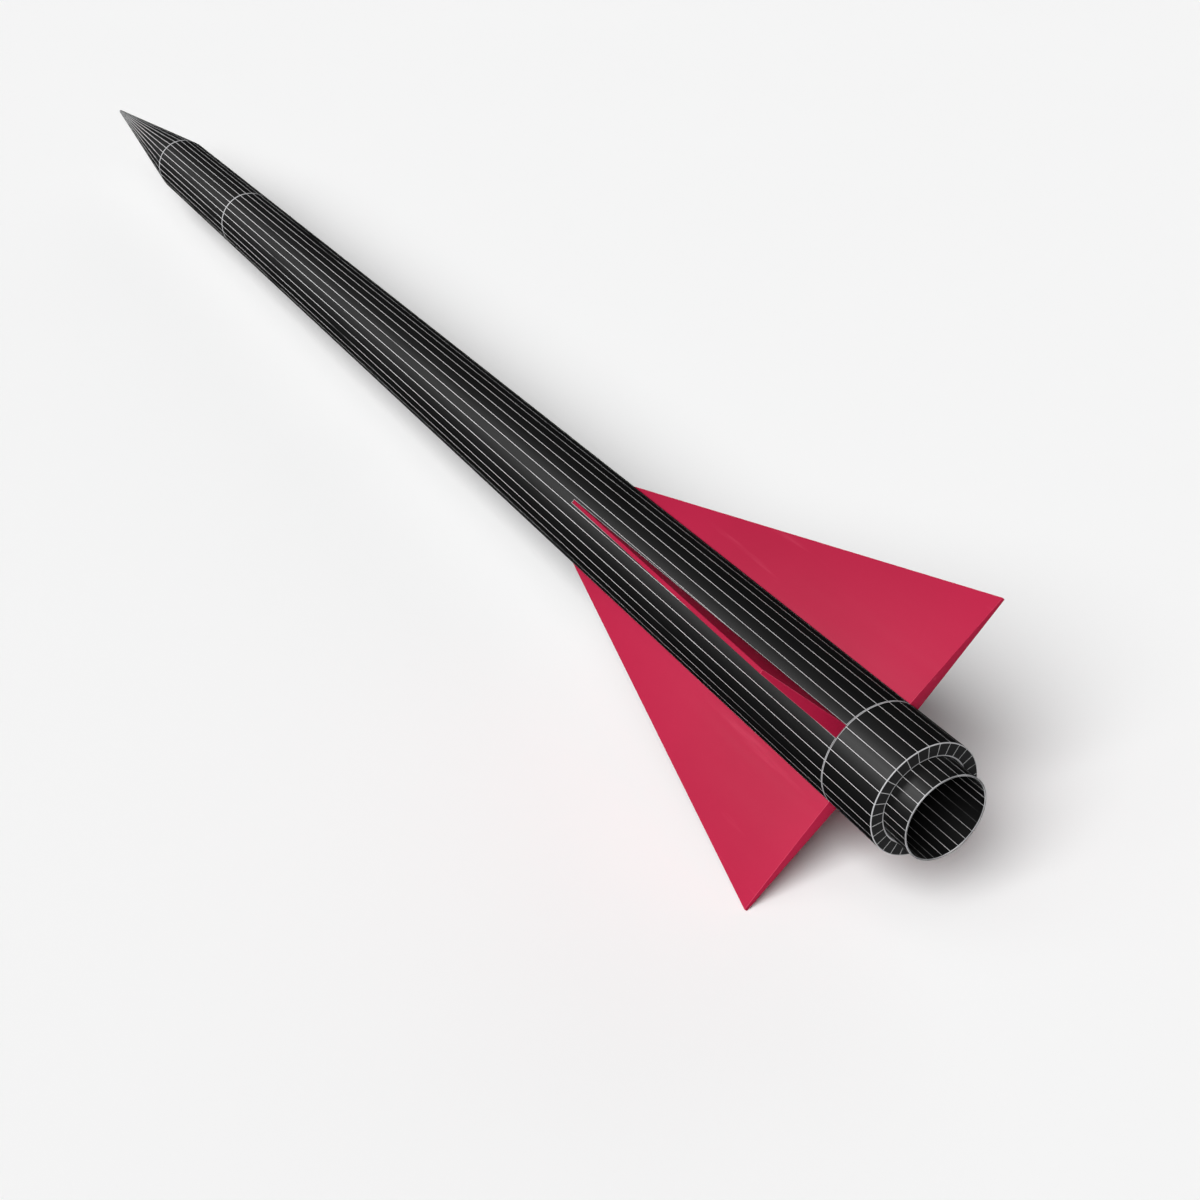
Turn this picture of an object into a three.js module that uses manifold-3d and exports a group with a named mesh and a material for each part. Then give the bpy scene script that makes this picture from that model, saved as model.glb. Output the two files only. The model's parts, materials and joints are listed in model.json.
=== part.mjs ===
// Slim four-fin model rocket: a slotted airframe with a fin can, a payload section that slides out of it
// on a coupler, and a conical nose that slides out of the payload section. Millimetres, +Z up, nose
// towards +Y.
//
// Stations run along the rocket's axis: 0 is the seam between the body tube and the tail collar, positive
// is towards the nose. Every piece is built about the axis at its own station, and the group puts the axis
// at its height above the surface that the two lower fin tips rest on.

import * as THREE from 'three';
import Module from 'manifold-3d';
import { ConvexGeometry } from 'three/addons/geometries/ConvexGeometry.js';
import { mergeVertices } from 'three/addons/utils/BufferGeometryUtils.js';

const wasm = await Module();
wasm.setup();

// ---- driving dimensions ------------------------------------------------------------------------------

const GAP = 0.3;                    // clearance between pieces that touch or nest
const SIDES = 48;                   // sides of the large round pieces
const SMALL_SIDES = 20;             // sides of the small round pieces
const PLUS = 1;                     // a cutting tool reaches this far past what it cuts

const BODY_R = 12.4;                // outer radius of body tube, payload tube, nose base and collar
const WALL = 0.35;                  // wall of the wound tubes
const BODY_BORE_R = BODY_R - WALL;
const NEST_R = BODY_BORE_R - GAP;   // outer radius of whatever fits inside the tubes

const COLLAR_END = -15.5;           // stations of the visible steps, from tail to tip
const MOTOR_TUBE_END = -21.7;
const BODY_FRONT = 430;
const NOSE_BASE = 542.4;
const NOSE_TIP = 689.4;
const NOSE_TIP_R = 0.65;

const MOTOR_TUBE_R = 9.35;          // takes 18 mm motors
const MOTOR_BORE_R = MOTOR_TUBE_R - WALL;
const MOTOR_TUBE_FRONT = 118;
const MOTOR_LENGTH = 70;
const MOTOR_OVERHANG = 6;           // a motor stands this far out of the tube
const THRUST_RING_BORE_R = 6;
const THRUST_RING_LENGTH = 6;

const FIN_ROOT = 112.1;             // root length, from the seam to the leading end
const FIN_TIP_R = 39.4;             // tip, from the axis
const FIN_EDGE_T = 0.86;            // thickness at the leading edge and the tip
const FIN_ROOT_T = 3.1;             // thickness at the trailing root
const FIN_TAB_SETBACK = 6;          // the tab through the wall ends this far behind the root's leading end
const FIN_ANGLES = { upper_right: 45, upper_left: 135, lower_left: 225, lower_right: 315 };

const SHOULDER = 25;                // nose shoulder inside the payload tube
const NOSE_WALL = 1.3;
const NOSE_HOLLOW_TIP_R = 0.8;
const PLUG_DEPTH = 5;               // the cup that closes the nose's shoulder
const PLUG_WALL = 1.2;
const PLUG_FLOOR = 1.6;
const BALLAST_BACK = 625;
const BALLAST_FRONT = 668;
const COUPLER_BACK = 392;           // the coupler reaches 38 mm into the body tube
const COUPLER_FRONT = 455;
const COUPLER_WALL = 0.5;
const DISC_R = NEST_R - COUPLER_WALL - GAP;
const DISC_T = 2.4;
const BAFFLE_BACK = 150;
const BAFFLE_FRONT = 185;
const BAFFLE_EDGE = 0.55;           // height of a half-moon's straight edge, as a share of its radius
const COLLAR_SHOULDER = 6;

const BOLT_R = 1.5;                 // M3 eye bolts
const EYE_R = 3.4;
const EYE_WIRE_R = 0.9;
const FLANGE_R = 3;
const FLANGE_T = 1;
const WASHER_R = 3.5;
const WASHER_T = 0.6;
const NUT_T = 2.4;
const NUT_CORNER_R = 3.1;
const BOLT_END = 1.5;               // the bolt stands this far out of its nut

const CHUTE_R = 9.2;
const CHUTE_BACK = 204;
const CHUTE_FRONT = 284;
const CHUTE_ROUND = 2;              // bevel of the roll's ends
const CHUTE_SIDES = 24;
const CHUTE_DROP = 1.6;             // lies this far below the axis, under the cord
const CORD_R = 0.6;
const CORD_TOP_Z = 9.5;             // height of the cord's run over the parachute
const HANK_BACK = 310;              // the cord's hank: lengthwise runs at these x, on one level
const HANK_FRONT = 366;
const HANK_X = [7.5, 2.5, -2.5, -7.5];
const HANK_Z = -5.5;
const CORD_START_GAP = 0.75;        // between the cord and the lower eye
const CORD_END_GAP = 0.95;          // between the cord and the upper eye

const SWIVEL_AT = [-5, 290, 3];     // x, station and height of the barrel's back end
const SWIVEL_R = 1.5;
const SWIVEL_END_R = 0.9;
const SWIVEL_BEVEL = 1;
const SWIVEL_LENGTH = 5;
const SWIVEL_LOOP_R = 1.5;
const SWIVEL_WIRE_R = 0.35;

const LUG_R = 2.4;
const LUG_BORE_R = 2.0;
const LUG_LENGTH = 40;
const LUG_STATIONS = { aft: 18, fore: 238 };

const AXIS_Z = (FIN_TIP_R + FIN_EDGE_T / 2) * Math.SQRT1_2;
const SEAM_Y = -(NOSE_TIP + MOTOR_TUBE_END) / 2;

// ---- materials ---------------------------------------------------------------------------------------

const finishes = {
  black: { color: 0x17171a, roughness: 0.45, metalness: 0 },
  crimson: { color: 0xb8223f, roughness: 0.5, metalness: 0 },
  kraft: { color: 0x8d6f4c, roughness: 0.85, metalness: 0 },
  plywood: { color: 0xb9925c, roughness: 0.75, metalness: 0 },
  steel: { color: 0x9a9da1, roughness: 0.35, metalness: 0.9 },
  lead: { color: 0x55575c, roughness: 0.6, metalness: 0.7 },
  nylon: { color: 0xd8641e, roughness: 0.7, metalness: 0 },
  cord: { color: 0xd9c267, roughness: 0.8, metalness: 0 },
  brass: { color: 0xb08d4a, roughness: 0.35, metalness: 0.9 },
};

// ---- shape helpers -----------------------------------------------------------------------------------

const airframe = new THREE.Group();
airframe.position.set(0, SEAM_Y, AXIS_Z);

function add(name, geometry, finish) {
  const mesh = new THREE.Mesh(geometry, new THREE.MeshStandardMaterial(finishes[finish]));
  mesh.name = name;
  airframe.add(mesh);
  return mesh;
}

// A solid of revolution about the rocket's axis. Each profile point is [radius, station].
function turned(profile, sides = SIDES) {
  return new THREE.LatheGeometry(profile.map(([r, s]) => new THREE.Vector2(r, s)), sides);
}

function ring(innerR, outerR, back, front, sides = SIDES) {
  return turned([[innerR, back], [outerR, back], [outerR, front], [innerR, front], [innerR, back]], sides);
}

// A flat piece cut to an outline and standing across the axis, from one station forwards.
function crossPlate(outline, back, thickness) {
  const geometry = new THREE.ExtrudeGeometry(outline, {
    depth: thickness, bevelEnabled: false, curveSegments: SIDES / 2,
  });
  geometry.rotateX(-Math.PI / 2);
  geometry.translate(0, back, 0);
  return geometry;
}

function roundHole(radius) {
  return new THREE.Path().absarc(0, 0, radius, 0, 2 * Math.PI, true);
}

function toSolid(geometry) {
  const bare = geometry.clone();
  bare.deleteAttribute('normal');
  bare.deleteAttribute('uv');
  const merged = mergeVertices(bare, 1e-4);
  return new wasm.Manifold(new wasm.Mesh({
    numProp: 3,
    vertProperties: new Float32Array(merged.attributes.position.array),
    triVerts: new Uint32Array(merged.index.array),
  }));
}

function toGeometry(solid) {
  const mesh = solid.getMesh();
  const geometry = new THREE.BufferGeometry();
  geometry.setAttribute('position', new THREE.BufferAttribute(new Float32Array(mesh.vertProperties), 3));
  geometry.setIndex(new THREE.BufferAttribute(new Uint32Array(mesh.triVerts), 1));
  return geometry;
}

// Turns a shape whose radial direction is +X to an angle about the axis, counted from +X up towards +Z.
function atAngle(geometry, degrees) {
  return geometry.clone().rotateY(-THREE.MathUtils.degToRad(degrees));
}

// ---- fins --------------------------------------------------------------------------------------------

// Half the fin's thickness along its root line, thick at the trailing end and thin at the leading end.
function rootHalf(station) {
  const thin = FIN_EDGE_T / 2;
  return thin + (FIN_ROOT_T / 2 - thin) * (1 - station / FIN_ROOT);
}

// A convex slab about the plane z = 0 from points [radius, station, half thickness].
function slab(points) {
  return new ConvexGeometry(points.flatMap(([r, s, half]) => [
    new THREE.Vector3(r, s, half), new THREE.Vector3(r, s, -half)]));
}

// The fin is one moulding: a delta blade that thins to its leading edge and tip, and a tab that passes
// through the wall slot to the motor tube.
function finGeometry() {
  const back = GAP / 2;
  const inSlotR = BODY_BORE_R + 0.05;
  const tabR = MOTOR_TUBE_R + GAP;
  const tabBack = COLLAR_SHOULDER + GAP + 0.1;
  const tabFront = FIN_ROOT - FIN_TAB_SETBACK;
  const outline = new THREE.Shape([
    [inSlotR, back], [FIN_TIP_R, back], [BODY_R, FIN_ROOT], [inSlotR, FIN_ROOT],
    [inSlotR, tabFront], [tabR, tabFront], [tabR, tabBack], [inSlotR, tabBack],
  ].map(([r, s]) => new THREE.Vector2(r, s)));
  const blank = new THREE.ExtrudeGeometry(outline, { depth: 2 * FIN_ROOT_T, bevelEnabled: false });
  blank.translate(0, 0, -FIN_ROOT_T);
  const taper = slab([
    [tabR - PLUS, back, rootHalf(back)], [BODY_R, back, rootHalf(back)], [FIN_TIP_R, back, FIN_EDGE_T / 2],
    [BODY_R, FIN_ROOT, rootHalf(FIN_ROOT)], [tabR - PLUS, FIN_ROOT, rootHalf(FIN_ROOT)],
  ]);
  return toGeometry(toSolid(blank).intersect(toSolid(taper)));
}

const fin = finGeometry();
for (const [place, degrees] of Object.entries(FIN_ANGLES)) {
  add(`fin_${place}`, atAngle(fin, degrees), 'crimson');
}

// ---- body tube, with four slots that open at the tail ------------------------------------------------

function slotCutter() {
  const front = FIN_ROOT + GAP;
  const inner = BODY_BORE_R - 2 * PLUS;
  const outer = BODY_R + 2 * PLUS;
  const backHalf = rootHalf(-PLUS) + GAP;
  const frontHalf = rootHalf(front) + GAP;
  return slab([
    [inner, -PLUS, backHalf], [outer, -PLUS, backHalf],
    [inner, front, frontHalf], [outer, front, frontHalf],
  ]);
}

function bodyTube() {
  let tube = toSolid(ring(BODY_BORE_R, BODY_R, GAP / 2, BODY_FRONT - GAP / 2));
  for (const degrees of Object.values(FIN_ANGLES)) {
    tube = tube.subtract(toSolid(atAngle(slotCutter(), degrees)));
  }
  return toGeometry(tube);
}

add('body_tube', bodyTube(), 'black');

// ---- fin can: motor tube, rings, thrust ring and the collar that closes the slots --------------------

add('motor_tube', ring(MOTOR_BORE_R, MOTOR_TUBE_R, MOTOR_TUBE_END, MOTOR_TUBE_FRONT), 'black');

const ringBack = FIN_ROOT + 1;
add('centering_ring', ring(MOTOR_TUBE_R + GAP, NEST_R, ringBack, ringBack + DISC_T), 'plywood');

const thrustFace = MOTOR_TUBE_END - MOTOR_OVERHANG + MOTOR_LENGTH + GAP;
add('thrust_ring',
  ring(THRUST_RING_BORE_R, MOTOR_BORE_R - GAP, thrustFace, thrustFace + THRUST_RING_LENGTH), 'kraft');

add('tail_collar', turned([
  [MOTOR_TUBE_R + GAP, COLLAR_END],
  [BODY_R, COLLAR_END],
  [BODY_R, -GAP / 2],
  [NEST_R, -GAP / 2],
  [NEST_R, COLLAR_SHOULDER],
  [MOTOR_TUBE_R + GAP, COLLAR_SHOULDER],
  [MOTOR_TUBE_R + GAP, COLLAR_END],
]), 'black');

// ---- eye bolt with its washer and nut, through a disc ------------------------------------------------

// The disc's face on the eye's side is at eyeFace, and its other face at nutFace. The eye points from
// nutFace towards eyeFace and beyond.
function eyeBoltSet(end, eyeFace, nutFace) {
  const towardsEye = Math.sign(eyeFace - nutFace);
  const span = (from, to) => [Math.min(from, to), Math.max(from, to)];
  const flangeStart = eyeFace + towardsEye * GAP;
  const flangeEnd = flangeStart + towardsEye * FLANGE_T;
  const washerStart = nutFace - towardsEye * GAP;
  const washerEnd = washerStart - towardsEye * WASHER_T;
  const nutStart = washerEnd - towardsEye * GAP;
  const nutEnd = nutStart - towardsEye * NUT_T;
  const shankEnd = nutEnd - towardsEye * BOLT_END;
  const eye = new THREE.TorusGeometry(EYE_R, EYE_WIRE_R, 10, 24);
  eye.translate(0, flangeEnd + towardsEye * (EYE_R + EYE_WIRE_R / 2), 0);
  const rod = ([low, high], r) => turned([[0, low], [r, low], [r, high], [0, high]], SMALL_SIDES);
  const bolt = toSolid(rod(span(shankEnd, flangeEnd), BOLT_R))
    .add(toSolid(rod(span(flangeStart, flangeEnd), FLANGE_R)))
    .add(toSolid(eye));
  add(`eye_bolt_${end}`, toGeometry(bolt), 'steel');

  const [washerLow, washerHigh] = span(washerStart, washerEnd);
  add(`eye_washer_${end}`, ring(BOLT_R + GAP, WASHER_R, washerLow, washerHigh, SMALL_SIDES), 'steel');

  const corners = Array.from({ length: 6 }, (_, i) => new THREE.Vector2(
    NUT_CORNER_R * Math.cos(i * Math.PI / 3), NUT_CORNER_R * Math.sin(i * Math.PI / 3)));
  const hexagon = new THREE.Shape(corners);
  hexagon.holes.push(roundHole(BOLT_R + GAP));
  add(`eye_nut_${end}`, crossPlate(hexagon, span(nutStart, nutEnd)[0], NUT_T), 'steel');
}

// ---- ejection baffle: two half-moon discs in a short tube, with the cord's lower anchor --------------

// A round disc with a bolt hole and a straight edge that leaves a gas port on one side. The port is on the
// side of the sign given: -1 below, +1 above.
function baffleDisc(side) {
  const turn = Math.asin(BAFFLE_EDGE);
  const outline = new THREE.Shape();
  if (side > 0) {
    outline.absarc(0, 0, DISC_R, -turn, Math.PI + turn, false);
  } else {
    outline.absarc(0, 0, DISC_R, Math.PI - turn, 2 * Math.PI + turn, false);
  }
  outline.closePath();
  return outline;
}

add('baffle_tube', ring(DISC_R + GAP, NEST_R, BAFFLE_BACK, BAFFLE_FRONT), 'kraft');
const foreDisc = baffleDisc(-1);
foreDisc.holes.push(roundHole(BOLT_R + GAP));
add('baffle_disc_fore', crossPlate(foreDisc, BAFFLE_FRONT - GAP - DISC_T, DISC_T), 'plywood');
add('baffle_disc_aft', crossPlate(baffleDisc(1), BAFFLE_BACK + GAP, DISC_T), 'plywood');
eyeBoltSet('aft', BAFFLE_FRONT - GAP, BAFFLE_FRONT - GAP - DISC_T);

// ---- recovery gear: rolled parachute and the shock cord ----------------------------------------------

const chute = turned([
  [0, CHUTE_BACK], [CHUTE_R - CHUTE_ROUND, CHUTE_BACK], [CHUTE_R, CHUTE_BACK + CHUTE_ROUND],
  [CHUTE_R, CHUTE_FRONT - CHUTE_ROUND], [CHUTE_R - CHUTE_ROUND, CHUTE_FRONT], [0, CHUTE_FRONT],
], CHUTE_SIDES);
add('parachute', chute, 'nylon').position.z = -CHUTE_DROP;

// The swivel joins the parachute's lines to the cord: a barrel with a wire ring at each end.
function swivelGeometry() {
  const loop = (station) => {
    const torus = new THREE.TorusGeometry(SWIVEL_LOOP_R, SWIVEL_WIRE_R, 8, 20);
    torus.translate(0, station, 0);
    return toSolid(torus);
  };
  const barrel = turned([
    [0, 0], [SWIVEL_END_R, 0], [SWIVEL_R, SWIVEL_BEVEL], [SWIVEL_R, SWIVEL_LENGTH - SWIVEL_BEVEL],
    [SWIVEL_END_R, SWIVEL_LENGTH], [0, SWIVEL_LENGTH],
  ], SMALL_SIDES);
  return toGeometry(toSolid(barrel).add(loop(-SWIVEL_LOOP_R)).add(loop(SWIVEL_LENGTH + SWIVEL_LOOP_R)));
}

add('line_swivel', swivelGeometry(), 'brass').position.set(...SWIVEL_AT);

// One turn at an end of the hank, from the run at x0 to the run at x1, as points [x, station, z].
function hankTurn(x0, x1, station, outwards) {
  const middle = (x0 + x1) / 2;
  const r = Math.abs(x1 - x0) / 2;
  const from = Math.sign(x0 - x1);
  return [0, 45, 90, 135, 180].map((degrees) => {
    const a = THREE.MathUtils.degToRad(degrees);
    return [middle + from * r * Math.cos(a), station + outwards * r * Math.sin(a), HANK_Z];
  });
}

// The cord's route: from the lower eye up over the parachute, down into the flat hank, and along the axis
// to the upper eye.
const eyeReach = FLANGE_T + 2 * EYE_R + 1.5 * EYE_WIRE_R;
const cordStart = BAFFLE_FRONT + eyeReach + CORD_START_GAP;
const cordEnd = COUPLER_BACK - eyeReach - CORD_END_GAP;
const cordRoute = [
  [0, cordStart, 0], [0, cordStart + 2.1, 1.5], [0, cordStart + 4.6, 5], [0, cordStart + 8.1, 8.3],
  [0, cordStart + 13.1, CORD_TOP_Z], [0, (CHUTE_BACK + CHUTE_FRONT) / 2, CORD_TOP_Z],
  [0, CHUTE_FRONT - 4, CORD_TOP_Z], [0.8, CHUTE_FRONT + 3, 9], [3.5, CHUTE_FRONT + 11, 4],
  [6.3, CHUTE_FRONT + 17, -2.5],
  ...hankTurn(HANK_X[0], HANK_X[1], HANK_FRONT, 1),
  ...hankTurn(HANK_X[1], HANK_X[2], HANK_BACK, -1),
  ...hankTurn(HANK_X[2], HANK_X[3], HANK_FRONT, 1),
  [HANK_X[3], HANK_BACK + 4, HANK_Z], [-6.6, HANK_BACK - 1.5, -4.6], [-4.2, HANK_BACK - 3.8, -2.6],
  [-1.6, HANK_BACK - 2.8, -0.8], [0, HANK_BACK + 1, 0], [0, HANK_BACK + 36, 0], [0, cordEnd, 0],
];

// Steps follow the route's own points, so that they crowd in the bends and not on the straight runs.
class RouteCurve extends THREE.CatmullRomCurve3 {
  getPointAt(u, target) {
    return this.getPoint(u, target);
  }

  getTangentAt(u, target) {
    return this.getTangent(u, target);
  }
}

const cordCurve = new RouteCurve(cordRoute.map((p) => new THREE.Vector3(...p)), false, 'centripetal');
add('shock_cord', new THREE.ExtrudeGeometry(new THREE.Shape().absarc(0, 0, CORD_R, 0, 2 * Math.PI), {
  steps: 2 * (cordRoute.length - 1), extrudePath: cordCurve, curveSegments: 8,
}), 'cord');

// ---- payload section ---------------------------------------------------------------------------------

add('payload_tube', ring(BODY_BORE_R, BODY_R, BODY_FRONT + GAP / 2, NOSE_BASE - GAP), 'black');
add('payload_coupler', ring(NEST_R - COUPLER_WALL, NEST_R, COUPLER_BACK, COUPLER_FRONT), 'kraft');
const bulkhead = new THREE.Shape().absarc(0, 0, DISC_R, 0, 2 * Math.PI);
bulkhead.holes.push(roundHole(BOLT_R + GAP));
add('coupler_bulkhead', crossPlate(bulkhead, COUPLER_BACK + GAP, DISC_T), 'plywood');
eyeBoltSet('fore', COUPLER_BACK + GAP, COUPLER_BACK + GAP + DISC_T);

// ---- nose --------------------------------------------------------------------------------------------

// Outer radius of the cone at a station.
function coneR(station) {
  const along = (station - NOSE_BASE) / (NOSE_TIP - NOSE_BASE);
  return BODY_R + (NOSE_TIP_R - BODY_R) * along;
}

function coneStation(radius) {
  return NOSE_BASE + (BODY_R - radius) / (BODY_R - NOSE_TIP_R) * (NOSE_TIP - NOSE_BASE);
}

const shoulderBack = NOSE_BASE - SHOULDER;
const shoulderBoreR = NEST_R - NOSE_WALL;
const hollowTip = coneStation(NOSE_HOLLOW_TIP_R + NOSE_WALL);
add('nose_cone', turned([
  [0, hollowTip],
  [NOSE_HOLLOW_TIP_R, hollowTip],
  [shoulderBoreR, coneStation(shoulderBoreR + NOSE_WALL)],
  [shoulderBoreR, shoulderBack],
  [NEST_R, shoulderBack],
  [NEST_R, NOSE_BASE],
  [BODY_R, NOSE_BASE],
  [NOSE_TIP_R, NOSE_TIP],
  [0, NOSE_TIP],
]), 'black');

add('nose_ballast', turned([
  [0, BALLAST_BACK], [coneR(BALLAST_BACK) - NOSE_WALL - GAP, BALLAST_BACK],
  [coneR(BALLAST_FRONT) - NOSE_WALL - GAP, BALLAST_FRONT], [0, BALLAST_FRONT],
], SMALL_SIDES), 'lead');

const plugR = shoulderBoreR - GAP;
const plugBack = shoulderBack + GAP;
const plugFront = plugBack + PLUG_DEPTH;
add('nose_base_plug', turned([
  [0, plugBack], [plugR, plugBack], [plugR, plugFront], [plugR - PLUG_WALL, plugFront],
  [plugR - PLUG_WALL, plugBack + PLUG_FLOOR], [0, plugBack + PLUG_FLOOR],
]), 'black');

// ---- launch lugs, under the body between the two lower fins ------------------------------------------

for (const [end, station] of Object.entries(LUG_STATIONS)) {
  const lug = ring(LUG_BORE_R, LUG_R, station, station + LUG_LENGTH, SMALL_SIDES);
  add(`launch_lug_${end}`, lug, 'black').position.z = -(BODY_R + GAP + LUG_R);
}

const group = new THREE.Group();
group.add(airframe);

export default group;
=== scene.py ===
"""Looks for a slim four-fin model rocket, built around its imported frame. Metres, +Z up, nose towards +Y."""

import json
from functools import partialmethod
from math import asin, copysign, cos, exp, pi, radians, sin, sqrt, tan

import bmesh
import bpy
import numpy as np
from mathutils import Matrix, Vector

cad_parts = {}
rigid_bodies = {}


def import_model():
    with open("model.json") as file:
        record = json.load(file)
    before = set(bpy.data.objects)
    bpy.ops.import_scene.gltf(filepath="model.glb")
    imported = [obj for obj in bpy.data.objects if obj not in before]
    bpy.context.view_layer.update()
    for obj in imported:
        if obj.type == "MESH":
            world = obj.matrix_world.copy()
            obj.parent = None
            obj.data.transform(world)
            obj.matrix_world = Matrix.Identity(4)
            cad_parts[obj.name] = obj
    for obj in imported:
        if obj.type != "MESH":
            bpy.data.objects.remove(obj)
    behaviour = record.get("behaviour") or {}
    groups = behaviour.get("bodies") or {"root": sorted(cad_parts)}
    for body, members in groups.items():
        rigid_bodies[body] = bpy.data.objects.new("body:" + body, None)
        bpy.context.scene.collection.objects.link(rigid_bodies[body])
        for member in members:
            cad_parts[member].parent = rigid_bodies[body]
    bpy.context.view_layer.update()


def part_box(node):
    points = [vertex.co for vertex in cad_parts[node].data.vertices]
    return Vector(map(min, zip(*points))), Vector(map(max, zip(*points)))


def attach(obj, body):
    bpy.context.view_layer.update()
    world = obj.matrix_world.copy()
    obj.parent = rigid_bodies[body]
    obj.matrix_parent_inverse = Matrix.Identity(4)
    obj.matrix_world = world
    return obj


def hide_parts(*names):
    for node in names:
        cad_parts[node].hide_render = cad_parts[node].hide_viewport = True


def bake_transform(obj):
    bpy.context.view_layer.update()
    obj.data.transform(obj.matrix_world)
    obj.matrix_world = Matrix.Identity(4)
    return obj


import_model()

scene = bpy.context.scene
MM = 0.001
TAU = 2 * pi
SIDES = 180  # sides of the large round pieces
SMALL_SIDES = 64  # sides of the small ones
GAP = 0.3 * MM  # clearance that the frame keeps between its pieces
SEAM_GAP = 0.1 * MM  # clearance that shows at a closed seam


# ---- places, all from the frame ----

def span(node):
    """Where a node starts and ends along the rocket."""
    low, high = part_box(node)
    return low.y, high.y


def radius(node):
    """Half of a node's width."""
    low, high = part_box(node)
    return (high.x - low.x) / 2


body_low, body_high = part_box("body_tube")
AXIS_Z = (body_low.z + body_high.z) / 2
BODY_R = radius("body_tube")
WALL = radius("motor_tube") - radius("thrust_ring") - GAP
BORE_R = BODY_R - WALL
NEST_R = BORE_R - GAP  # outside of whatever fits in the tubes
BODY_BACK, BODY_FRONT = span("body_tube")
SEAM = BODY_BACK - GAP / 2  # between the body tube and the collar behind it
FIN_BACK, FIN_FRONT = span("fin_upper_right")


def on_axis(y, x=0.0, z=0.0):
    """A point at a station y, x across and z above the rocket's axis."""
    return Vector((x, y, AXIS_Z + z))


def at_turn(y, turn, r, x=0.0, z=0.0):
    """A point at a station y, a turn about the axis or about a line beside it, and a distance from that."""
    return on_axis(y, x + r * cos(turn), z + r * sin(turn))


def full_turn(steps):
    """Equal steps round a whole turn, without the last, which is the first again."""
    return [TAU * k / steps for k in range(steps)]


# ---- camera ----

VIEW_TURN = radians(-27.8)
VIEW_LIFT = radians(29.9)
VIEW_ANGLE = radians(45)
SEAM_IN_VIEW = Vector((4.300, -2.454, -22.734))  # the seam's centre as the camera sees it, in body radii


def make_camera():
    back = Vector((sin(VIEW_TURN) * cos(VIEW_LIFT), -cos(VIEW_TURN) * cos(VIEW_LIFT), sin(VIEW_LIFT)))
    right = Vector((cos(VIEW_TURN), sin(VIEW_TURN), 0))
    turn = Matrix((right, back.cross(right), back)).transposed()
    camera = bpy.data.objects.new("camera", bpy.data.cameras.new("camera"))
    camera.data.sensor_width = 36
    camera.data.angle = VIEW_ANGLE
    camera.data.clip_start = 0.01
    camera.matrix_world = (
        Matrix.Translation(on_axis(SEAM) - turn @ (SEAM_IN_VIEW * BODY_R)) @ turn.to_4x4())
    scene.collection.objects.link(camera)
    scene.camera = camera


make_camera()


# ---- material building ----

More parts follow.
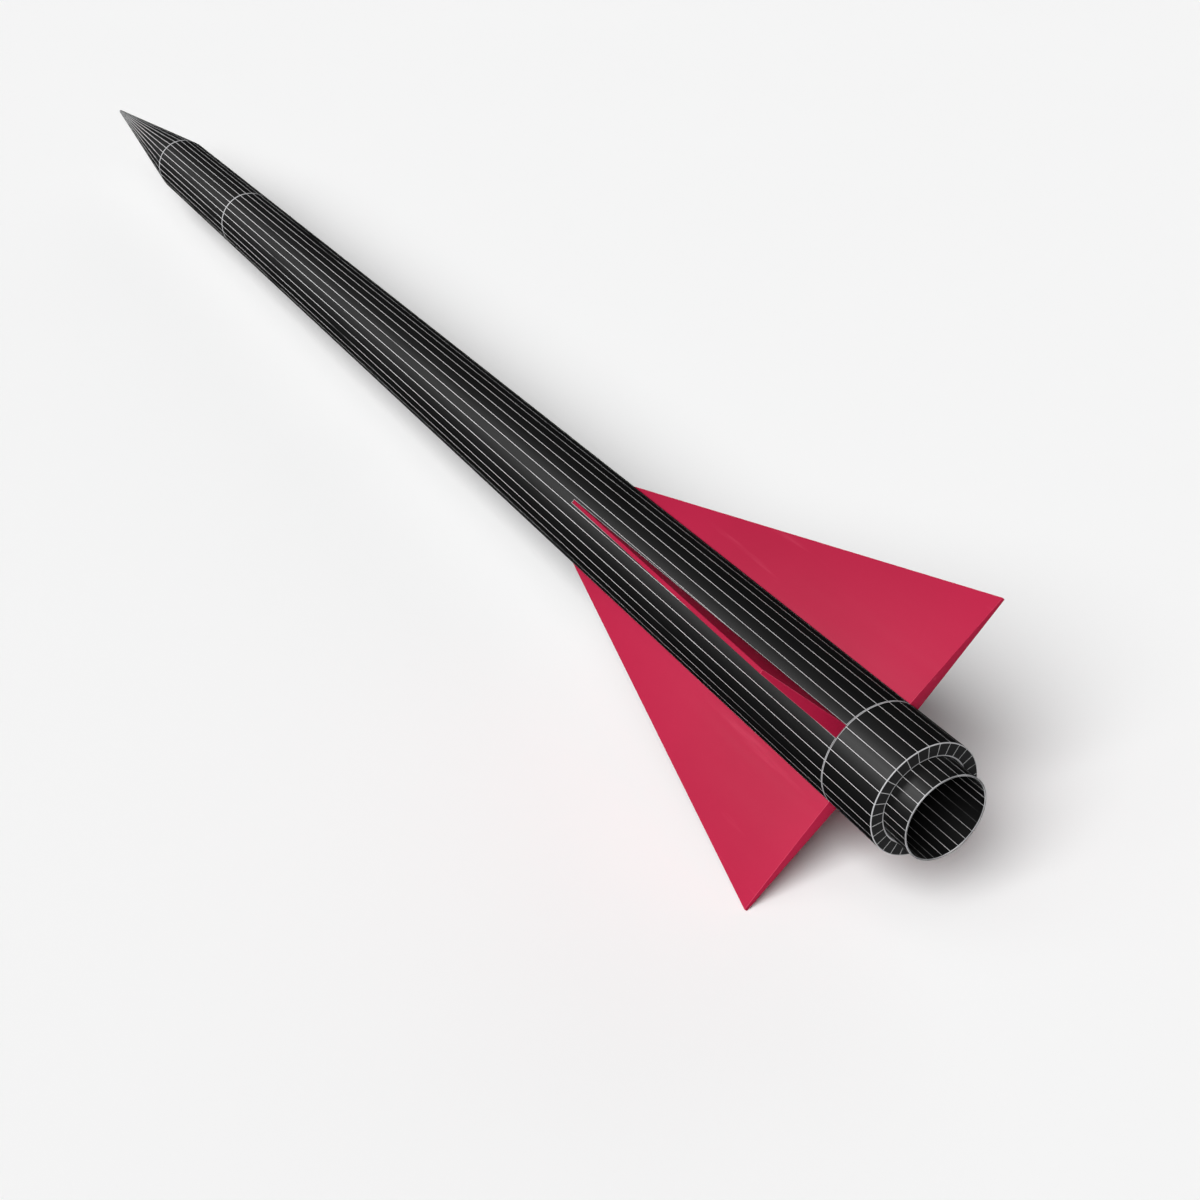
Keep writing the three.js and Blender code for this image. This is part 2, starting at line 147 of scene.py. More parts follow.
class Look:
    """One material, with short ways to add nodes to it."""

    def __init__(self, name, roughness=0.5, specular=0.5, **sockets):
        self.material = bpy.data.materials.new(name)
        self.material.use_nodes = True
        self.tree = self.material.node_tree
        self.shader = self.tree.nodes["Principled BSDF"]
        for socket, value in dict(Roughness=roughness, Specular_IOR_Level=specular, **sockets).items():
            self.shader.inputs[socket.replace("_", " ")].default_value = value
        self.place = self.add("TexCoord").outputs["Object"]

    def feed(self, socket, value):
        if isinstance(value, bpy.types.NodeSocket):
            self.tree.links.new(value, socket)
        else:
            socket.default_value = value

    def add(self, kind, settings=None, **sockets):
        node = self.tree.nodes.new("ShaderNode" + kind)
        for name, value in (settings or {}).items():
            setattr(node, name, value)
        for name, value in sockets.items():
            self.feed(node.inputs[name.replace("_", " ")], value)
        return node

    def math(self, operation, a, b=0.0):
        node = self.add("Math", {"operation": operation})
        self.feed(node.inputs[0], a)
        self.feed(node.inputs[1], b)
        return node.outputs[0]

    plus = partialmethod(math, "ADD")
    minus = partialmethod(math, "SUBTRACT")
    times = partialmethod(math, "MULTIPLY")

    def from_half(self, value):
        """0 midway between whole numbers, up to 0.5 at them."""
        return self.math("ABSOLUTE", self.minus(self.math("FRACT", value), 0.5))

    def step(self, value, low, high):
        """0 below low and 1 above high, or 1 below high and 0 above low where high is the lower."""
        ends = {"From_Min": min(low, high), "From_Max": max(low, high)}
        if low > high:
            ends.update(To_Min=1.0, To_Max=0.0)
        return self.add("MapRange", {"interpolation_type": "SMOOTHSTEP"}, Value=value, **ends).outputs[0]

    def mix(self, factor, a, b):
        node = self.add("Mix", {"data_type": "RGBA"})
        for socket, value in ((0, factor), (6, a), (7, b)):
            self.feed(node.inputs[socket], value)
        return node.outputs[2]

    def noise(self, scale, detail=2.0, stretch=None):
        """Noise over the piece's own coordinates, times stretch where it is given."""
        place = self.place
        if stretch:
            place = self.add("Mapping", Vector=place, Scale=stretch).outputs[0]
        return self.add("TexNoise", Vector=place, Scale=scale, Detail=detail).outputs["Fac"]

    def wear(self):
        return self.add("Attribute", {"attribute_name": "wear"}).outputs["Fac"]

    def around(self):
        """x, y, the height above the axis, and the turn about it from -0.5 to 0.5."""
        x, y, height = self.add("SeparateXYZ", Vector=self.place).outputs
        z = self.minus(height, AXIS_Z)
        return x, y, z, self.math("DIVIDE", self.math("ARCTAN2", z, x), TAU)

    def facing_ends(self):
        """1 on a face square to the axis and 0 on one along it."""
        normal = self.add("NewGeometry").outputs["Normal"]
        return self.math("ABSOLUTE", self.add("SeparateXYZ", Vector=normal).outputs[1])

    def flat_map(self, name):
        """The two coordinates of the piece's own flat map."""
        uv = self.add("UVMap", {"uv_map": name}).outputs[0]
        first, second, _ = self.add("SeparateXYZ", Vector=uv).outputs
        return first, second

    def colour(self, value):
        self.feed(self.shader.inputs["Base Color"], value)

    def rough(self, low, high, value):
        self.feed(self.shader.inputs["Roughness"], self.plus(self.times(value, high - low), low))

    def bump(self, height, distance, strength=1.0):
        """Adds relief to any that is there already."""
        node = self.add("Bump", Height=height, Distance=distance, Strength=strength)
        last = self.shader.inputs["Normal"]
        if last.links:
            self.tree.links.new(last.links[0].from_socket, node.inputs["Normal"])
        self.feed(last, node.outputs[0])


LINES = 30  # fine pale lines along the black tubes, around the whole turn
FIRST_LINE = radians(45)  # one of them runs to the root of the upper right fin
LINE_HALF = 0.075 * MM  # half a line's width at the tail seam
LINE_GROWTH = 2.2  # how much wider a line is a metre further forwards, as a share
LINE_MOST = 0.22  # at most this share of the space between lines, on the narrow tip

BLACK_DEEP = (0.0018, 0.0018, 0.0019, 1)
BLACK_WORN = (0.0030, 0.0030, 0.0032, 1)
SOOT = (0.003, 0.003, 0.003, 1)
# painted light: a grey lighter than the black for faces square to the axis, standing in for the light they
# catch
END_FACE_PAINTED_LIGHT = (0.019, 0.019, 0.0195, 1)
LINE_GREY = (0.66, 0.66, 0.665, 1)
EDGE_GREY = (0.42, 0.42, 0.43, 1)


def lengthwise_lines(look):
    """1 on each fine line and 0 between lines."""
    x, y, z, turn = look.around()
    from_axis = look.math("SQRT", look.plus(look.times(x, x), look.times(z, z)))
    spacing = look.times(from_axis, TAU / LINES)
    place = look.plus(look.times(look.minus(turn, FIRST_LINE / TAU), LINES), 0.5)
    off_line = look.times(look.from_half(place), spacing)
    growth = look.plus(look.times(look.minus(y, SEAM), LINE_GROWTH), 1)
    half = look.math("MINIMUM", look.times(growth, LINE_HALF), look.times(spacing, LINE_MOST))
    return look.step(look.math("DIVIDE", off_line, half), 1, 0.3)


def black_look(name, sooty=False):
    """Satin black, brushed along the tube, with fine pale lines and worn rims. Faces square to the axis are
    painted a dark grey, lighter than the black, as painted light.
    """
    look = Look(name, 0.5, 0.3, IOR=1.42)
    patches = look.noise(38, 3)
    brushing = look.noise(900, 3, (1, 0.02, 1))
    base = look.mix(look.step(patches, 0.35, 0.7), BLACK_DEEP, BLACK_WORN)
    # painted light: faces square to the axis take the lighter grey
    base = look.mix(look.step(look.facing_ends(), 0.7, 0.95), base, END_FACE_PAINTED_LIGHT)
    lines = lengthwise_lines(look)
    broken = look.step(look.noise(160, 2, (1, 0.15, 1)), 0.2, 0.45)
    base = look.mix(look.times(lines, broken), base, LINE_GREY)
    rims = look.step(look.wear(), 0.15, 0.75)
    base = look.mix(look.times(rims, look.step(patches, 0.2, 0.42)), base, EDGE_GREY)
    if sooty:
        soot = look.step(look.noise(220, 4), 0.3, 0.75)
        base = look.mix(look.times(soot, 0.6), base, SOOT)
    look.colour(base)
    look.rough(0.44, 0.56, brushing)
    look.bump(brushing, 0.004 * MM)
    look.bump(lines, 0.02 * MM, 0.6)
    return look.material


FIN_RED = (0.392, 0.0098, 0.0465, 1)
FIN_RED_DEEP = (0.356, 0.0084, 0.0405, 1)
FIN_STRESS = (0.70, 0.10, 0.17, 1)


def crimson_look(name):
    """Moulded crimson plastic: fine grain, faint scuffs and edges rubbed paler."""
    look = Look(name, 0.48, 0.08)
    drift = look.noise(22)
    grain = look.noise(4200)
    base = look.mix(look.step(drift, 0.3, 0.7), FIN_RED, FIN_RED_DEEP)
    base = look.mix(look.times(look.step(grain, 0.35, 0.75), 0.12), base, FIN_RED_DEEP)
    scuffs = look.noise(340, 4, (1, 0.06, 1))
    base = look.mix(look.times(look.step(scuffs, 0.62, 0.8), 0.2), base, FIN_STRESS)
    rims = look.step(look.wear(), 0.2, 0.9)
    base = look.mix(look.times(rims, look.step(drift, 0.3, 0.6)), base, FIN_STRESS)
    look.colour(base)
    look.rough(0.42, 0.58, scuffs)
    look.bump(grain, 0.012 * MM, 0.7)
    return look.material


KRAFT = (0.36, 0.215, 0.115, 1)
KRAFT_DARK = (0.27, 0.155, 0.080, 1)
KRAFT_SEAM = (0.15, 0.085, 0.045, 1)
KRAFT_WORN = (0.48, 0.32, 0.19, 1)
PAPER_WIDTH = 24 * MM  # of the strip that the tubes are wound from, along the tube


def kraft_look(name):
    """Brown paper wound on the bias: fibres, a spiral seam and paler edges."""
    look = Look(name, 0.85, 0.2)
    _, y, _, turn = look.around()
    fibres = look.noise(1400, 4, (1, 0.35, 1))
    base = look.mix(look.step(fibres, 0.3, 0.7), KRAFT, KRAFT_DARK)
    seam = look.step(look.from_half(look.plus(look.times(y, 1 / PAPER_WIDTH), turn)), 0.012, 0.004)
    base = look.mix(look.times(seam, 0.7), base, KRAFT_SEAM)
    base = look.mix(look.times(look.wear(), 0.4), base, KRAFT_WORN)
    look.colour(base)
    look.bump(fibres, 0.02 * MM)
    look.bump(seam, -0.05 * MM)
    return look.material


BIRCH = (0.60, 0.41, 0.22, 1)
BIRCH_DARK = (0.46, 0.28, 0.13, 1)
CUT_EDGE = (0.21, 0.115, 0.05, 1)
CUT_EDGE_DARK = (0.12, 0.062, 0.026, 1)
TWO_PLIES = 0.8 * MM


def plywood_look(name):
    """Thin birch plywood: grain across its faces, and plies in its toasted edge."""
    look = Look(name, 0.7, 0.25)
    _, y, _, _ = look.around()
    grain = look.noise(420, 4, (0.12, 1, 1))
    base = look.mix(look.step(grain, 0.3, 0.7), BIRCH, BIRCH_DARK)
    plies = look.math("FRACT", look.times(y, 1 / TWO_PLIES))
    cut = look.mix(look.step(plies, 0.45, 0.55), CUT_EDGE, CUT_EDGE_DARK)
    look.colour(look.mix(look.step(look.facing_ends(), 0.7, 0.4), base, cut))
    look.bump(grain, 0.03 * MM)
    return look.material


def metal_look(name, bright, dull, roughness):
    """Plated or bare metal, with fine tool marks and dull patches."""
    look = Look(name, roughness, Metallic=1)
    marks = look.noise(2600, 3, (1, 0.2, 1))
    look.colour(look.mix(look.step(look.noise(260, 3), 0.35, 0.7), bright, dull))
    look.rough(roughness - 0.08, roughness + 0.18, marks)
    look.bump(marks, 0.006 * MM)
    return look.material


NYLON = (0.72, 0.135, 0.018, 1)
NYLON_DARK = (0.58, 0.092, 0.012, 1)
NYLON_THREAD = (0.80, 0.27, 0.09, 1)


def nylon_look(name):
    """Orange ripstop: a fine weave, with heavier threads both ways."""
    look = Look(name, 0.55, 0.35, Sheen_Weight=0.3, Sheen_Tint=(1, 0.6, 0.4, 1))
    ways = look.flat_map("cloth")

    def threads(pitch, share):
        """1 on threads both ways, and 0 further from them than this share of their pitch."""
        each_way = [look.step(look.from_half(look.times(way, 1 / pitch)), 0.5 - share, 0.5) for way in ways]
        return look.math("MAXIMUM", *each_way)

    grid = threads(4 * MM, 0.07)
    base = look.mix(look.step(look.noise(90, 3), 0.3, 0.7), NYLON, NYLON_DARK)
    look.colour(look.mix(look.times(grid, 0.55), base, NYLON_THREAD))
    look.bump(threads(0.35 * MM, 0.3), 0.02 * MM, 0.6)
    look.bump(grid, 0.05 * MM, 0.7)
    return look.material


def braid_look(name, light, dark, strands, pitch):
    """A round braid of two crossing sets of strands, on a map that runs round and along it, with painted
    shade in the grooves between the strands.
    """
    look = Look(name, 0.7, 0.25, Sheen_Weight=0.2)
    round_it, along = look.flat_map("cord")
    turns = look.times(round_it, strands)
    steps = look.times(along, 1 / pitch)

    def strand(angle):
        return look.step(look.math("SINE", look.times(angle, TAU)), -0.9, 0.6)

    crossed = look.times(strand(look.plus(turns, steps)), strand(look.minus(turns, steps)))
    # painted shade: the darker colour goes in the grooves between the strands
    look.colour(look.mix(crossed, dark, light))
    look.bump(crossed, 0.08 * MM)
    return look.material


def glue_look(name):
    """Cured epoxy, tinted black, with a soft shine."""
    look = Look(name, 0.3, 0.4)
    look.colour(look.mix(look.noise(300), (0.010, 0.010, 0.011, 1), (0.020, 0.020, 0.021, 1)))
    look.bump(look.noise(500), 0.05 * MM, 0.5)
    return look.material


LOOKS = {name: make(name, *values) for name, make, *values in (
    ("tube_black", black_look),
    ("nose_black", black_look),
    ("collar_black", black_look),
    ("motor_tube_black", black_look, True),
    ("lug_black", glue_look),
    ("fin_crimson", crimson_look),
    ("kraft_paper", kraft_look),
    ("plywood", plywood_look),
    ("zinc_steel", metal_look, (0.62, 0.63, 0.65, 1), (0.50, 0.50, 0.49, 1), 0.30),
    ("ballast_metal", metal_look, (0.20, 0.20, 0.22, 1), (0.12, 0.12, 0.13, 1), 0.55),
    ("brass", metal_look, (0.72, 0.52, 0.22, 1), (0.52, 0.35, 0.13, 1), 0.32),
    ("chute_nylon", nylon_look),
    ("cord_aramid", braid_look, (0.74, 0.56, 0.14, 1), (0.42, 0.28, 0.05, 1), 4, 1.6 * MM),
)}


# ---- mesh building ----

ROUND_STEPS = 4  # steps round an eased corner
EASE_SHARE = 0.4  # an eased corner takes at most this share of the way to the next one
FADE_SHARE = 0.48  # and with the wear beside it, this share


def piece(name, vertices, faces, slot, body, replaced=(), wear=None, sharp=radians(32)):
    """A finished piece, with its look, its body (None where it has none) and the CAD nodes that it stands
    for. It is shaded smooth up to the angle sharp."""
    mesh = bpy.data.meshes.new(name)
    mesh.from_pydata([tuple(v) for v in vertices], [], faces)
    mesh.update()
    if wear is not None:
        mesh.attributes.new("wear", "FLOAT", "POINT").data.foreach_set("value", wear)
    mesh.shade_smooth()
    mesh.set_sharp_from_angle(angle=sharp)
    mesh.materials.append(LOOKS[slot])
    made = bpy.data.objects.new(name, mesh)
    scene.collection.objects.link(made)
    if body:
        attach(made, body)
    if replaced:
        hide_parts(*replaced)
    return made


def ring_faces(count, sides, closed=False):
    """Quads between rings of vertices, with a cap at each end unless the last ring meets the first."""
    faces = []
    for i in range(count if closed else count - 1):
        for k in range(sides):
            n, after = (k + 1) % sides, (i + 1) % count
            faces.append((i * sides + k, i * sides + n, after * sides + n, after * sides + k))
    if not closed:
        faces += [tuple(range(sides))[::-1], tuple((count - 1) * sides + k for k in range(sides))]
    return faces


def corner_side(here, there, ease, worn):
    """Where a corner's ease ends on the way to the next corner, and where the wear beside it ends."""
    way = Vector(there[:2]) - here
    eased = min(ease, way.length * EASE_SHARE)
    faded = min(eased + max(worn, ease), way.length * FADE_SHARE)
    return here + way.normalized() * eased, here + way.normalized() * faded


def rounded(corners, closed=True, worn=0.0):
    """A profile with eased corners, each (radius, y, ease), as a list of (radius, y, wear). Wear is 1 round
    an eased corner and fades to 0 over the length worn."""
    points = []
    count = len(corners)
    for i, (r, y, ease) in enumerate(corners):
        at_end = not closed and i in (0, count - 1)
        if at_end or ease == 0:
            points.append((r, y, 0.0))
            continue
        here = Vector((r, y))
        start, unworn_before = corner_side(here, corners[i - 1], ease, worn)
        end, unworn_after = corner_side(here, corners[(i + 1) % count], ease, worn)
        points.append((*unworn_before, 0.0))
        for k in range(ROUND_STEPS + 1):
            t = k / ROUND_STEPS
            p = start * (1 - t) ** 2 + here * (2 * t * (1 - t)) + end * t ** 2
            points.append((*p, 1.0))
        points.append((*unworn_after, 0.0))
    return points


def turned(name, corners, slot, body, replaced=(), closed=True, sides=SIDES, x=0.0, z=0.0, worn=0.0):
    """A solid of revolution about a line x across and z above the rocket's axis. A profile that isn't closed
    starts and ends on that line."""
    vertices, wear, rings = [], [], []
    for r, y, wear_here in rounded(corners, closed, worn):
        count = 1 if r == 0 else sides
        rings.append((len(vertices), count))
        wear += [wear_here] * count
        vertices += [at_turn(y, a, r, x, z) for a in full_turn(sides)[:count]]
    faces = []
    pairs = list(zip(rings, rings[1:])) + ([(rings[-1], rings[0])] if closed else [])
    for (first, first_count), (second, second_count) in pairs:
        for k in range(sides):
            n = (k + 1) % sides
            quad = (first + k % first_count, first + n % first_count,
                    second + n % second_count, second + k % second_count)
            faces.append(tuple(dict.fromkeys(quad)))    # only three corners where a ring is one point
    return piece(name, vertices, faces, slot, body, replaced, wear)


def tube(name, node, inner, outer, ease, slot, body="airframe", ends=None, **more):
    """A plain tube or ring for a node, as long as that unless its ends are given, eased at all four rims."""
    back, front = ends or span(node)
    corners = [(inner, back, ease), (outer, back, ease), (outer, front, ease), (inner, front, ease)]
    return turned(name, corners, slot, body, (node,), **more)


# ---- airframe skin ----

EASE = 0.16 * MM  # how far a rim is eased
PULLED_WEAR = 0.7 * MM  # how far wear reaches beside a seam that is pulled apart for each flight
NOSE_WEAR = 1.0 * MM  # and beside the nose's seam and tip
SLOT_WEAR = 0.2 * MM  # and beside a fin's slot
FINS = {45: "upper_right", 135: "upper_left", 225: "lower_left", 315: "lower_right"}
FIN_EDGE_HALF = 0.43 * MM
FIN_ROOT_HALF = 1.55 * MM
FIN_TIP_R = (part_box("fin_upper_right")[1].z - AXIS_Z) * sqrt(2) - FIN_EDGE_HALF
FIN_EASE = 0.09 * MM
FIN_FLAT_AREA = 5 * MM * MM  # faces above this size aren't part of an eased edge
TAB_BACK, TAB_FRONT = SEAM + 6.4 * MM, FIN_FRONT - 6 * MM
STRIP_GAP = 0.05 * MM  # between the wall's inside and the tab's shoulders
SLOT_GAP = 0.06 * MM
SLOT_FRONT = FIN_FRONT + SLOT_GAP
DISC_GLUED = 0.25 * MM  # how far the coupler's disc fills the clearance round its CAD node
RING_GLUED = 0.2 * MM  # and the rings and the nose's plug, round theirs
STOP_BORE_R = 6 * MM


def fin_half(y, r=BODY_R):
    """Half of a fin's thickness at a station and a distance from the axis, the same all through the body."""
    along = (y - SEAM) / (FIN_FRONT - SEAM)
    root = FIN_ROOT_HALF + (FIN_EDGE_HALF - FIN_ROOT_HALF) * along
    return root + (FIN_EDGE_HALF - root) * max(0.0, r - BODY_R) / (FIN_TIP_R - BODY_R)


def skin_rows():
    """Stations along the body tube, with extra ones beside its rims and the slots' front ends."""
    back, front = BODY_BACK - GAP / 2 + SEAM_GAP / 2, BODY_FRONT + GAP / 2 - SEAM_GAP / 2
    beside_slots = np.linspace(back, SLOT_FRONT, 12)[1:-1]
    ahead = np.linspace(SLOT_FRONT, front, 16)[1:-1]
    return [
        back, back + EASE, *beside_slots, SLOT_FRONT, SLOT_FRONT + EASE, *ahead, front - PULLED_WEAR, front]


def skin_columns():
    """Columns of a quarter of the body tube, from a slot's far edge to the next one's: (True in the slot,
    place across the wall or the slot)."""
    edge = SLOT_WEAR / (BODY_R * TAU / 4)
    wall = [0.0, edge, *np.linspace(0, 1, 42)[1:-1], 1 - edge]
    return [(False, t) for t in wall] + [(True, t) for t in (0.0, 0.25, 0.5, 0.75)]


def column_turn(quarter, in_slot, t, r, y):
    """The turn about the axis of a column at a radius and a station, as a slot narrows with its fin."""
    half = asin((fin_half(min(y, SLOT_FRONT)) + SLOT_GAP) / r)
    start = radians(45) + quarter * TAU / 4
    if in_slot:
        return start + TAU / 4 - half + 2 * half * t
    return start + half + (TAU / 4 - 2 * half) * t


def skin_faces(row_count, slot_row, in_slot):
    """The body tube's outside and inside, open where slots are, then the slots' flanks, then the rims."""
    count = len(in_slot)
    last = row_count - 1

    def at(side, i, j):
        return side * row_count * count + i * count + j % count

    def through(p, q):
        """The quad through the wall between two of its points."""
        return [at(0, *p), at(0, *q), at(1, *q), at(1, *p)]

    faces = []
    for i in range(last):
        for j in range(count):
            if i >= slot_row or not in_slot[j]:
                quad = [(i, j), (i, j + 1), (i + 1, j + 1), (i + 1, j)]
                faces.append([at(0, *p) for p in reversed(quad)])
                faces.append([at(1, *p) for p in quad])
    for i in range(slot_row):
        for j in range(count):
            flank = through((i, j), (i + 1, j))
            if in_slot[j] and not in_slot[j - 1]:
                faces.append(flank)
            elif in_slot[j - 1] and not in_slot[j]:
                faces.append(flank[::-1])
    for j in range(count):
        first = slot_row if in_slot[j] else 0
        faces.append(through((first, j), (first, j + 1))[::-1])
        faces.append(through((last, j), (last, j + 1)))
    return faces


def slotted_tube():
    """The body tube as one sheet of quads round and along it, open where the fins pass through."""
    rows, columns = skin_rows(), skin_columns()
    slot_row = rows.index(SLOT_FRONT)
    vertices, wear = [], []
    for r in (BODY_R, BORE_R):
        for i, y in enumerate(rows):
            for quarter in range(4):
                for in_slot, t in columns:
                    vertices.append(at_turn(y, column_turn(quarter, in_slot, t, r, y), r))
                    on_slot = i <= slot_row and (in_slot or t == 0.0)
                    wear.append(1.0 if on_slot or i in (0, len(rows) - 1) else 0.0)
    faces = skin_faces(len(rows), slot_row, [in_slot for in_slot, _ in columns] * 4)
    piece("body_skin", vertices, faces, "tube_black", "airframe", ("body_tube",), wear)


def fin(place, degrees):
    """A delta blade that thins to its leading edge and tip, with a tab through the wall, edges eased."""
    tab_r = radius("motor_tube") + GAP
    strip_r = BORE_R + STRIP_GAP
    outline = [
        (tab_r, TAB_BACK), (strip_r, TAB_BACK), (strip_r, FIN_BACK),
        (BODY_R, FIN_BACK), (FIN_TIP_R, FIN_BACK), (BODY_R, FIN_FRONT),
        (strip_r, FIN_FRONT), (strip_r, TAB_FRONT), (tab_r, TAB_FRONT)]
    outer_face, tab_face = [3, 4, 5], [0, 1, 2, 3, 5, 6, 7, 8]
    mesh = bmesh.new()
    near, far = ([mesh.verts.new((r, y, sign * fin_half(y, r))) for r, y in outline] for sign in (1, -1))
    for side, way in ((near, 1), (far, -1)):
        for face in (outer_face, tab_face):
            mesh.faces.new([side[i] for i in face[::way]])
    for i in range(len(outline)):
        n = (i + 1) % len(outline)
        mesh.faces.new([near[n], near[i], far[i], far[n]])
    bmesh.ops.recalc_face_normals(mesh, faces=mesh.faces)
    hard = [e for e in mesh.edges if e.calc_face_angle(0) > radians(40)]
    bmesh.ops.bevel(mesh, geom=hard, offset=FIN_EASE, segments=2, affect="EDGES", profile=0.6)
    mesh.verts.index_update()
    wear = [0.0 if any(f.calc_area() > FIN_FLAT_AREA for f in v.link_faces) else 1.0 for v in mesh.verts]
    turn = radians(degrees)
    vertices = [
        on_axis(v.co.y, v.co.x * cos(turn) - v.co.z * sin(turn),
                v.co.x * sin(turn) + v.co.z * cos(turn)) for v in mesh.verts]
    faces = [[v.index for v in f.verts][::-1] for f in mesh.faces]
    mesh.free()
    blade = piece(f"blade_{place}", vertices, faces, "fin_crimson", "airframe", (f"fin_{place}",), wear,
                  sharp=radians(25))
    blade.visible_glossy = False    # the black tubes don't mirror the red


def tail():
    """The collar that closes the slots, and the open motor tube with its stop ring and its front ring."""
    collar_back, collar_top = span("tail_collar")
    collar_front = SEAM - SEAM_GAP / 2
    bore = radius("motor_tube") + SEAM_GAP
    turned("collar", [
        (bore, collar_back, 0.2 * MM), (BODY_R, collar_back, 0.11 * MM), (BODY_R, collar_front, EASE),
        (NEST_R, collar_front, 0), (NEST_R, collar_top, 0.3 * MM), (bore, collar_top, 0.1 * MM),
    ], "collar_black", "airframe", ("tail_collar",))
    motor_r = radius("motor_tube")
    tube("motor_sleeve", "motor_tube", motor_r - WALL, motor_r, 0.1 * MM, "motor_tube_black")
    stop_r = radius("thrust_ring") + RING_GLUED
    tube("stop_ring", "thrust_ring", STOP_BORE_R, stop_r, 0.3 * MM, "kraft_paper")
    tube("front_ring", "centering_ring", bore, NEST_R + RING_GLUED, 0.12 * MM, "plywood")


slotted_tube()
for degrees, place in FINS.items():
    fin(place, degrees)
tail()


# ---- payload section and nose ----

NOSE_TIP_R = 0.65 * MM
NOSE_WALL = 1.3 * MM
HOLLOW_TIP_R = 0.8 * MM
PLUG_RIM = 1.2 * MM
PLUG_FLOOR = 1.6 * MM


def payload_tube():
    """The short tube, which closes up to the body tube behind it and the nose in front."""
    back, front = span("payload_tube")
    tube("payload_skin", "payload_tube", BORE_R, BODY_R, EASE, "tube_black", "payload_section",
         ends=(back - GAP / 2 + SEAM_GAP / 2, front + GAP - SEAM_GAP), worn=PULLED_WEAR)


def nose():
    """The hollow cone, eased at its tip and base, with its shoulder, and the plug that closes it."""
    back, tip = span("nose_cone")
    base = span("payload_tube")[1] + GAP
    bore = NEST_R - NOSE_WALL

    def cone_y(r):
        return base + (BODY_R - r) / (BODY_R - NOSE_TIP_R) * (tip - base)

    hollow_tip = cone_y(HOLLOW_TIP_R + NOSE_WALL)
    turned("cone", [
        (0, hollow_tip, 0), (HOLLOW_TIP_R, hollow_tip, 0.3 * MM),
        (bore, cone_y(bore + NOSE_WALL), 0.5 * MM), (bore, back, 0.25 * MM), (NEST_R, back, 0.5 * MM),
        (NEST_R, base, 0), (BODY_R, base, EASE), (NOSE_TIP_R, tip, 0.3 * MM), (0, tip, 0),
    ], "nose_black", "nose", ("nose_cone",), closed=False, worn=NOSE_WEAR)
    back, front = span("nose_base_plug")
    r = radius("nose_base_plug") + RING_GLUED
    turned("base_plug", [
        (0, back, 0), (r, back, 0.4 * MM), (r, front, 0.2 * MM), (r - PLUG_RIM, front, 0.2 * MM),
        (r - PLUG_RIM, back + PLUG_FLOOR, 0.4 * MM), (0, back + PLUG_FLOOR, 0),
    ], "nose_black", "nose", ("nose_base_plug",), closed=False)


payload_tube()
nose()


# ---- glued tubes and discs inside ----

BOLT_R = 1.5 * MM
BOLT_HOLE_R = BOLT_R + SEAM_GAP
WALL_PAPER = 0.5 * MM
DISC_GAP = 0.02 * MM
SAME_PLACE = 0.001 * MM  # vertices closer than this are merged
PORT_EDGE = 0.55  # how far a port's straight edge is from the axis, as a share of the disc's radius


def baffle_and_coupler():
    """The two paper tubes inside, and the disc that closes the coupler."""
    for node, body in (("baffle_tube", "airframe"), ("payload_coupler", "payload_section")):
        tube(f"{node}_paper", node, NEST_R - WALL_PAPER, NEST_R, 0.14 * MM, "kraft_paper", body)
    disc_r = radius("coupler_bulkhead") + DISC_GLUED
    tube("coupler_disc", "coupler_bulkhead", BOLT_HOLE_R, disc_r, 0.15 * MM, "plywood", "payload_section")


def plate(name, outline, holes, back, front, ease, slot, body, replaced=()):
    """A flat plate across the axis, cut to an outline of (x, z) points round the axis, with round holes."""
    curve = bpy.data.curves.new(name, "CURVE")
    curve.dimensions = "2D"
    curve.fill_mode = "BOTH"
    curve.extrude = (front - back) / 2 - ease
    curve.bevel_depth = ease
    curve.offset = -ease
    curve.bevel_resolution = 2
    for loop in [outline] + holes:
        spline = curve.splines.new("POLY")
        spline.points.add(len(loop) - 1)
        for point, (x, z) in zip(spline.points, loop):
            point.co = (x, z, 0, 1)
        spline.use_cyclic_u = True
    flat = bpy.data.objects.new(name, curve)
    mesh = flat.to_mesh()
    middle = (back + front) / 2
    solid = bmesh.new()
    made = [solid.verts.new(on_axis(middle - v.co.z, v.co.x, v.co.y)) for v in mesh.vertices]
    for polygon in mesh.polygons:
        solid.faces.new([made[i] for i in polygon.vertices])
    flat.to_mesh_clear()
    bpy.data.objects.remove(flat)
    bmesh.ops.remove_doubles(solid, verts=solid.verts, dist=SAME_PLACE)
    solid.verts.index_update()
    vertices = [v.co.copy() for v in solid.verts]
    faces = [[v.index for v in f.verts] for f in solid.faces]
    solid.free()
    return piece(name, vertices, faces, slot, body, replaced)


def half_moon(r, side):
    """A round outline with a straight edge that leaves a port below (-1) or above (+1) the disc."""
    drop = asin(PORT_EDGE)
    turns = np.linspace(-drop, pi + drop, 97)
    return [(r * cos(a), -side * r * sin(a)) for a in (turns if side < 0 else turns[::-1])]


def baffle_discs():
    """The baffle's two discs. Their ports are on opposite sides, and the fore one holds the aft eye bolt."""
    hole = [(BOLT_HOLE_R * cos(a), BOLT_HOLE_R * sin(a)) for a in full_turn(32)]
    for end, side, holes in (("fore", -1, [hole]), ("aft", 1, [])):
        node = f"baffle_disc_{end}"
        plate(f"port_disc_{end}", half_moon(NEST_R - WALL_PAPER - DISC_GAP, side), holes, *span(node),
              0.12 * MM, "plywood", "airframe", (node,))


baffle_and_coupler()
baffle_discs()


# ---- cords, wires and other swept pieces ----

def as_path(points):
    """Points as the rows of one array."""
    return np.array([tuple(p) for p in points])


def lengths_along(path):
    """How far along the path each of its points is."""
    return np.concatenate([[0], np.cumsum(np.linalg.norm(np.diff(path, axis=0), axis=1))])


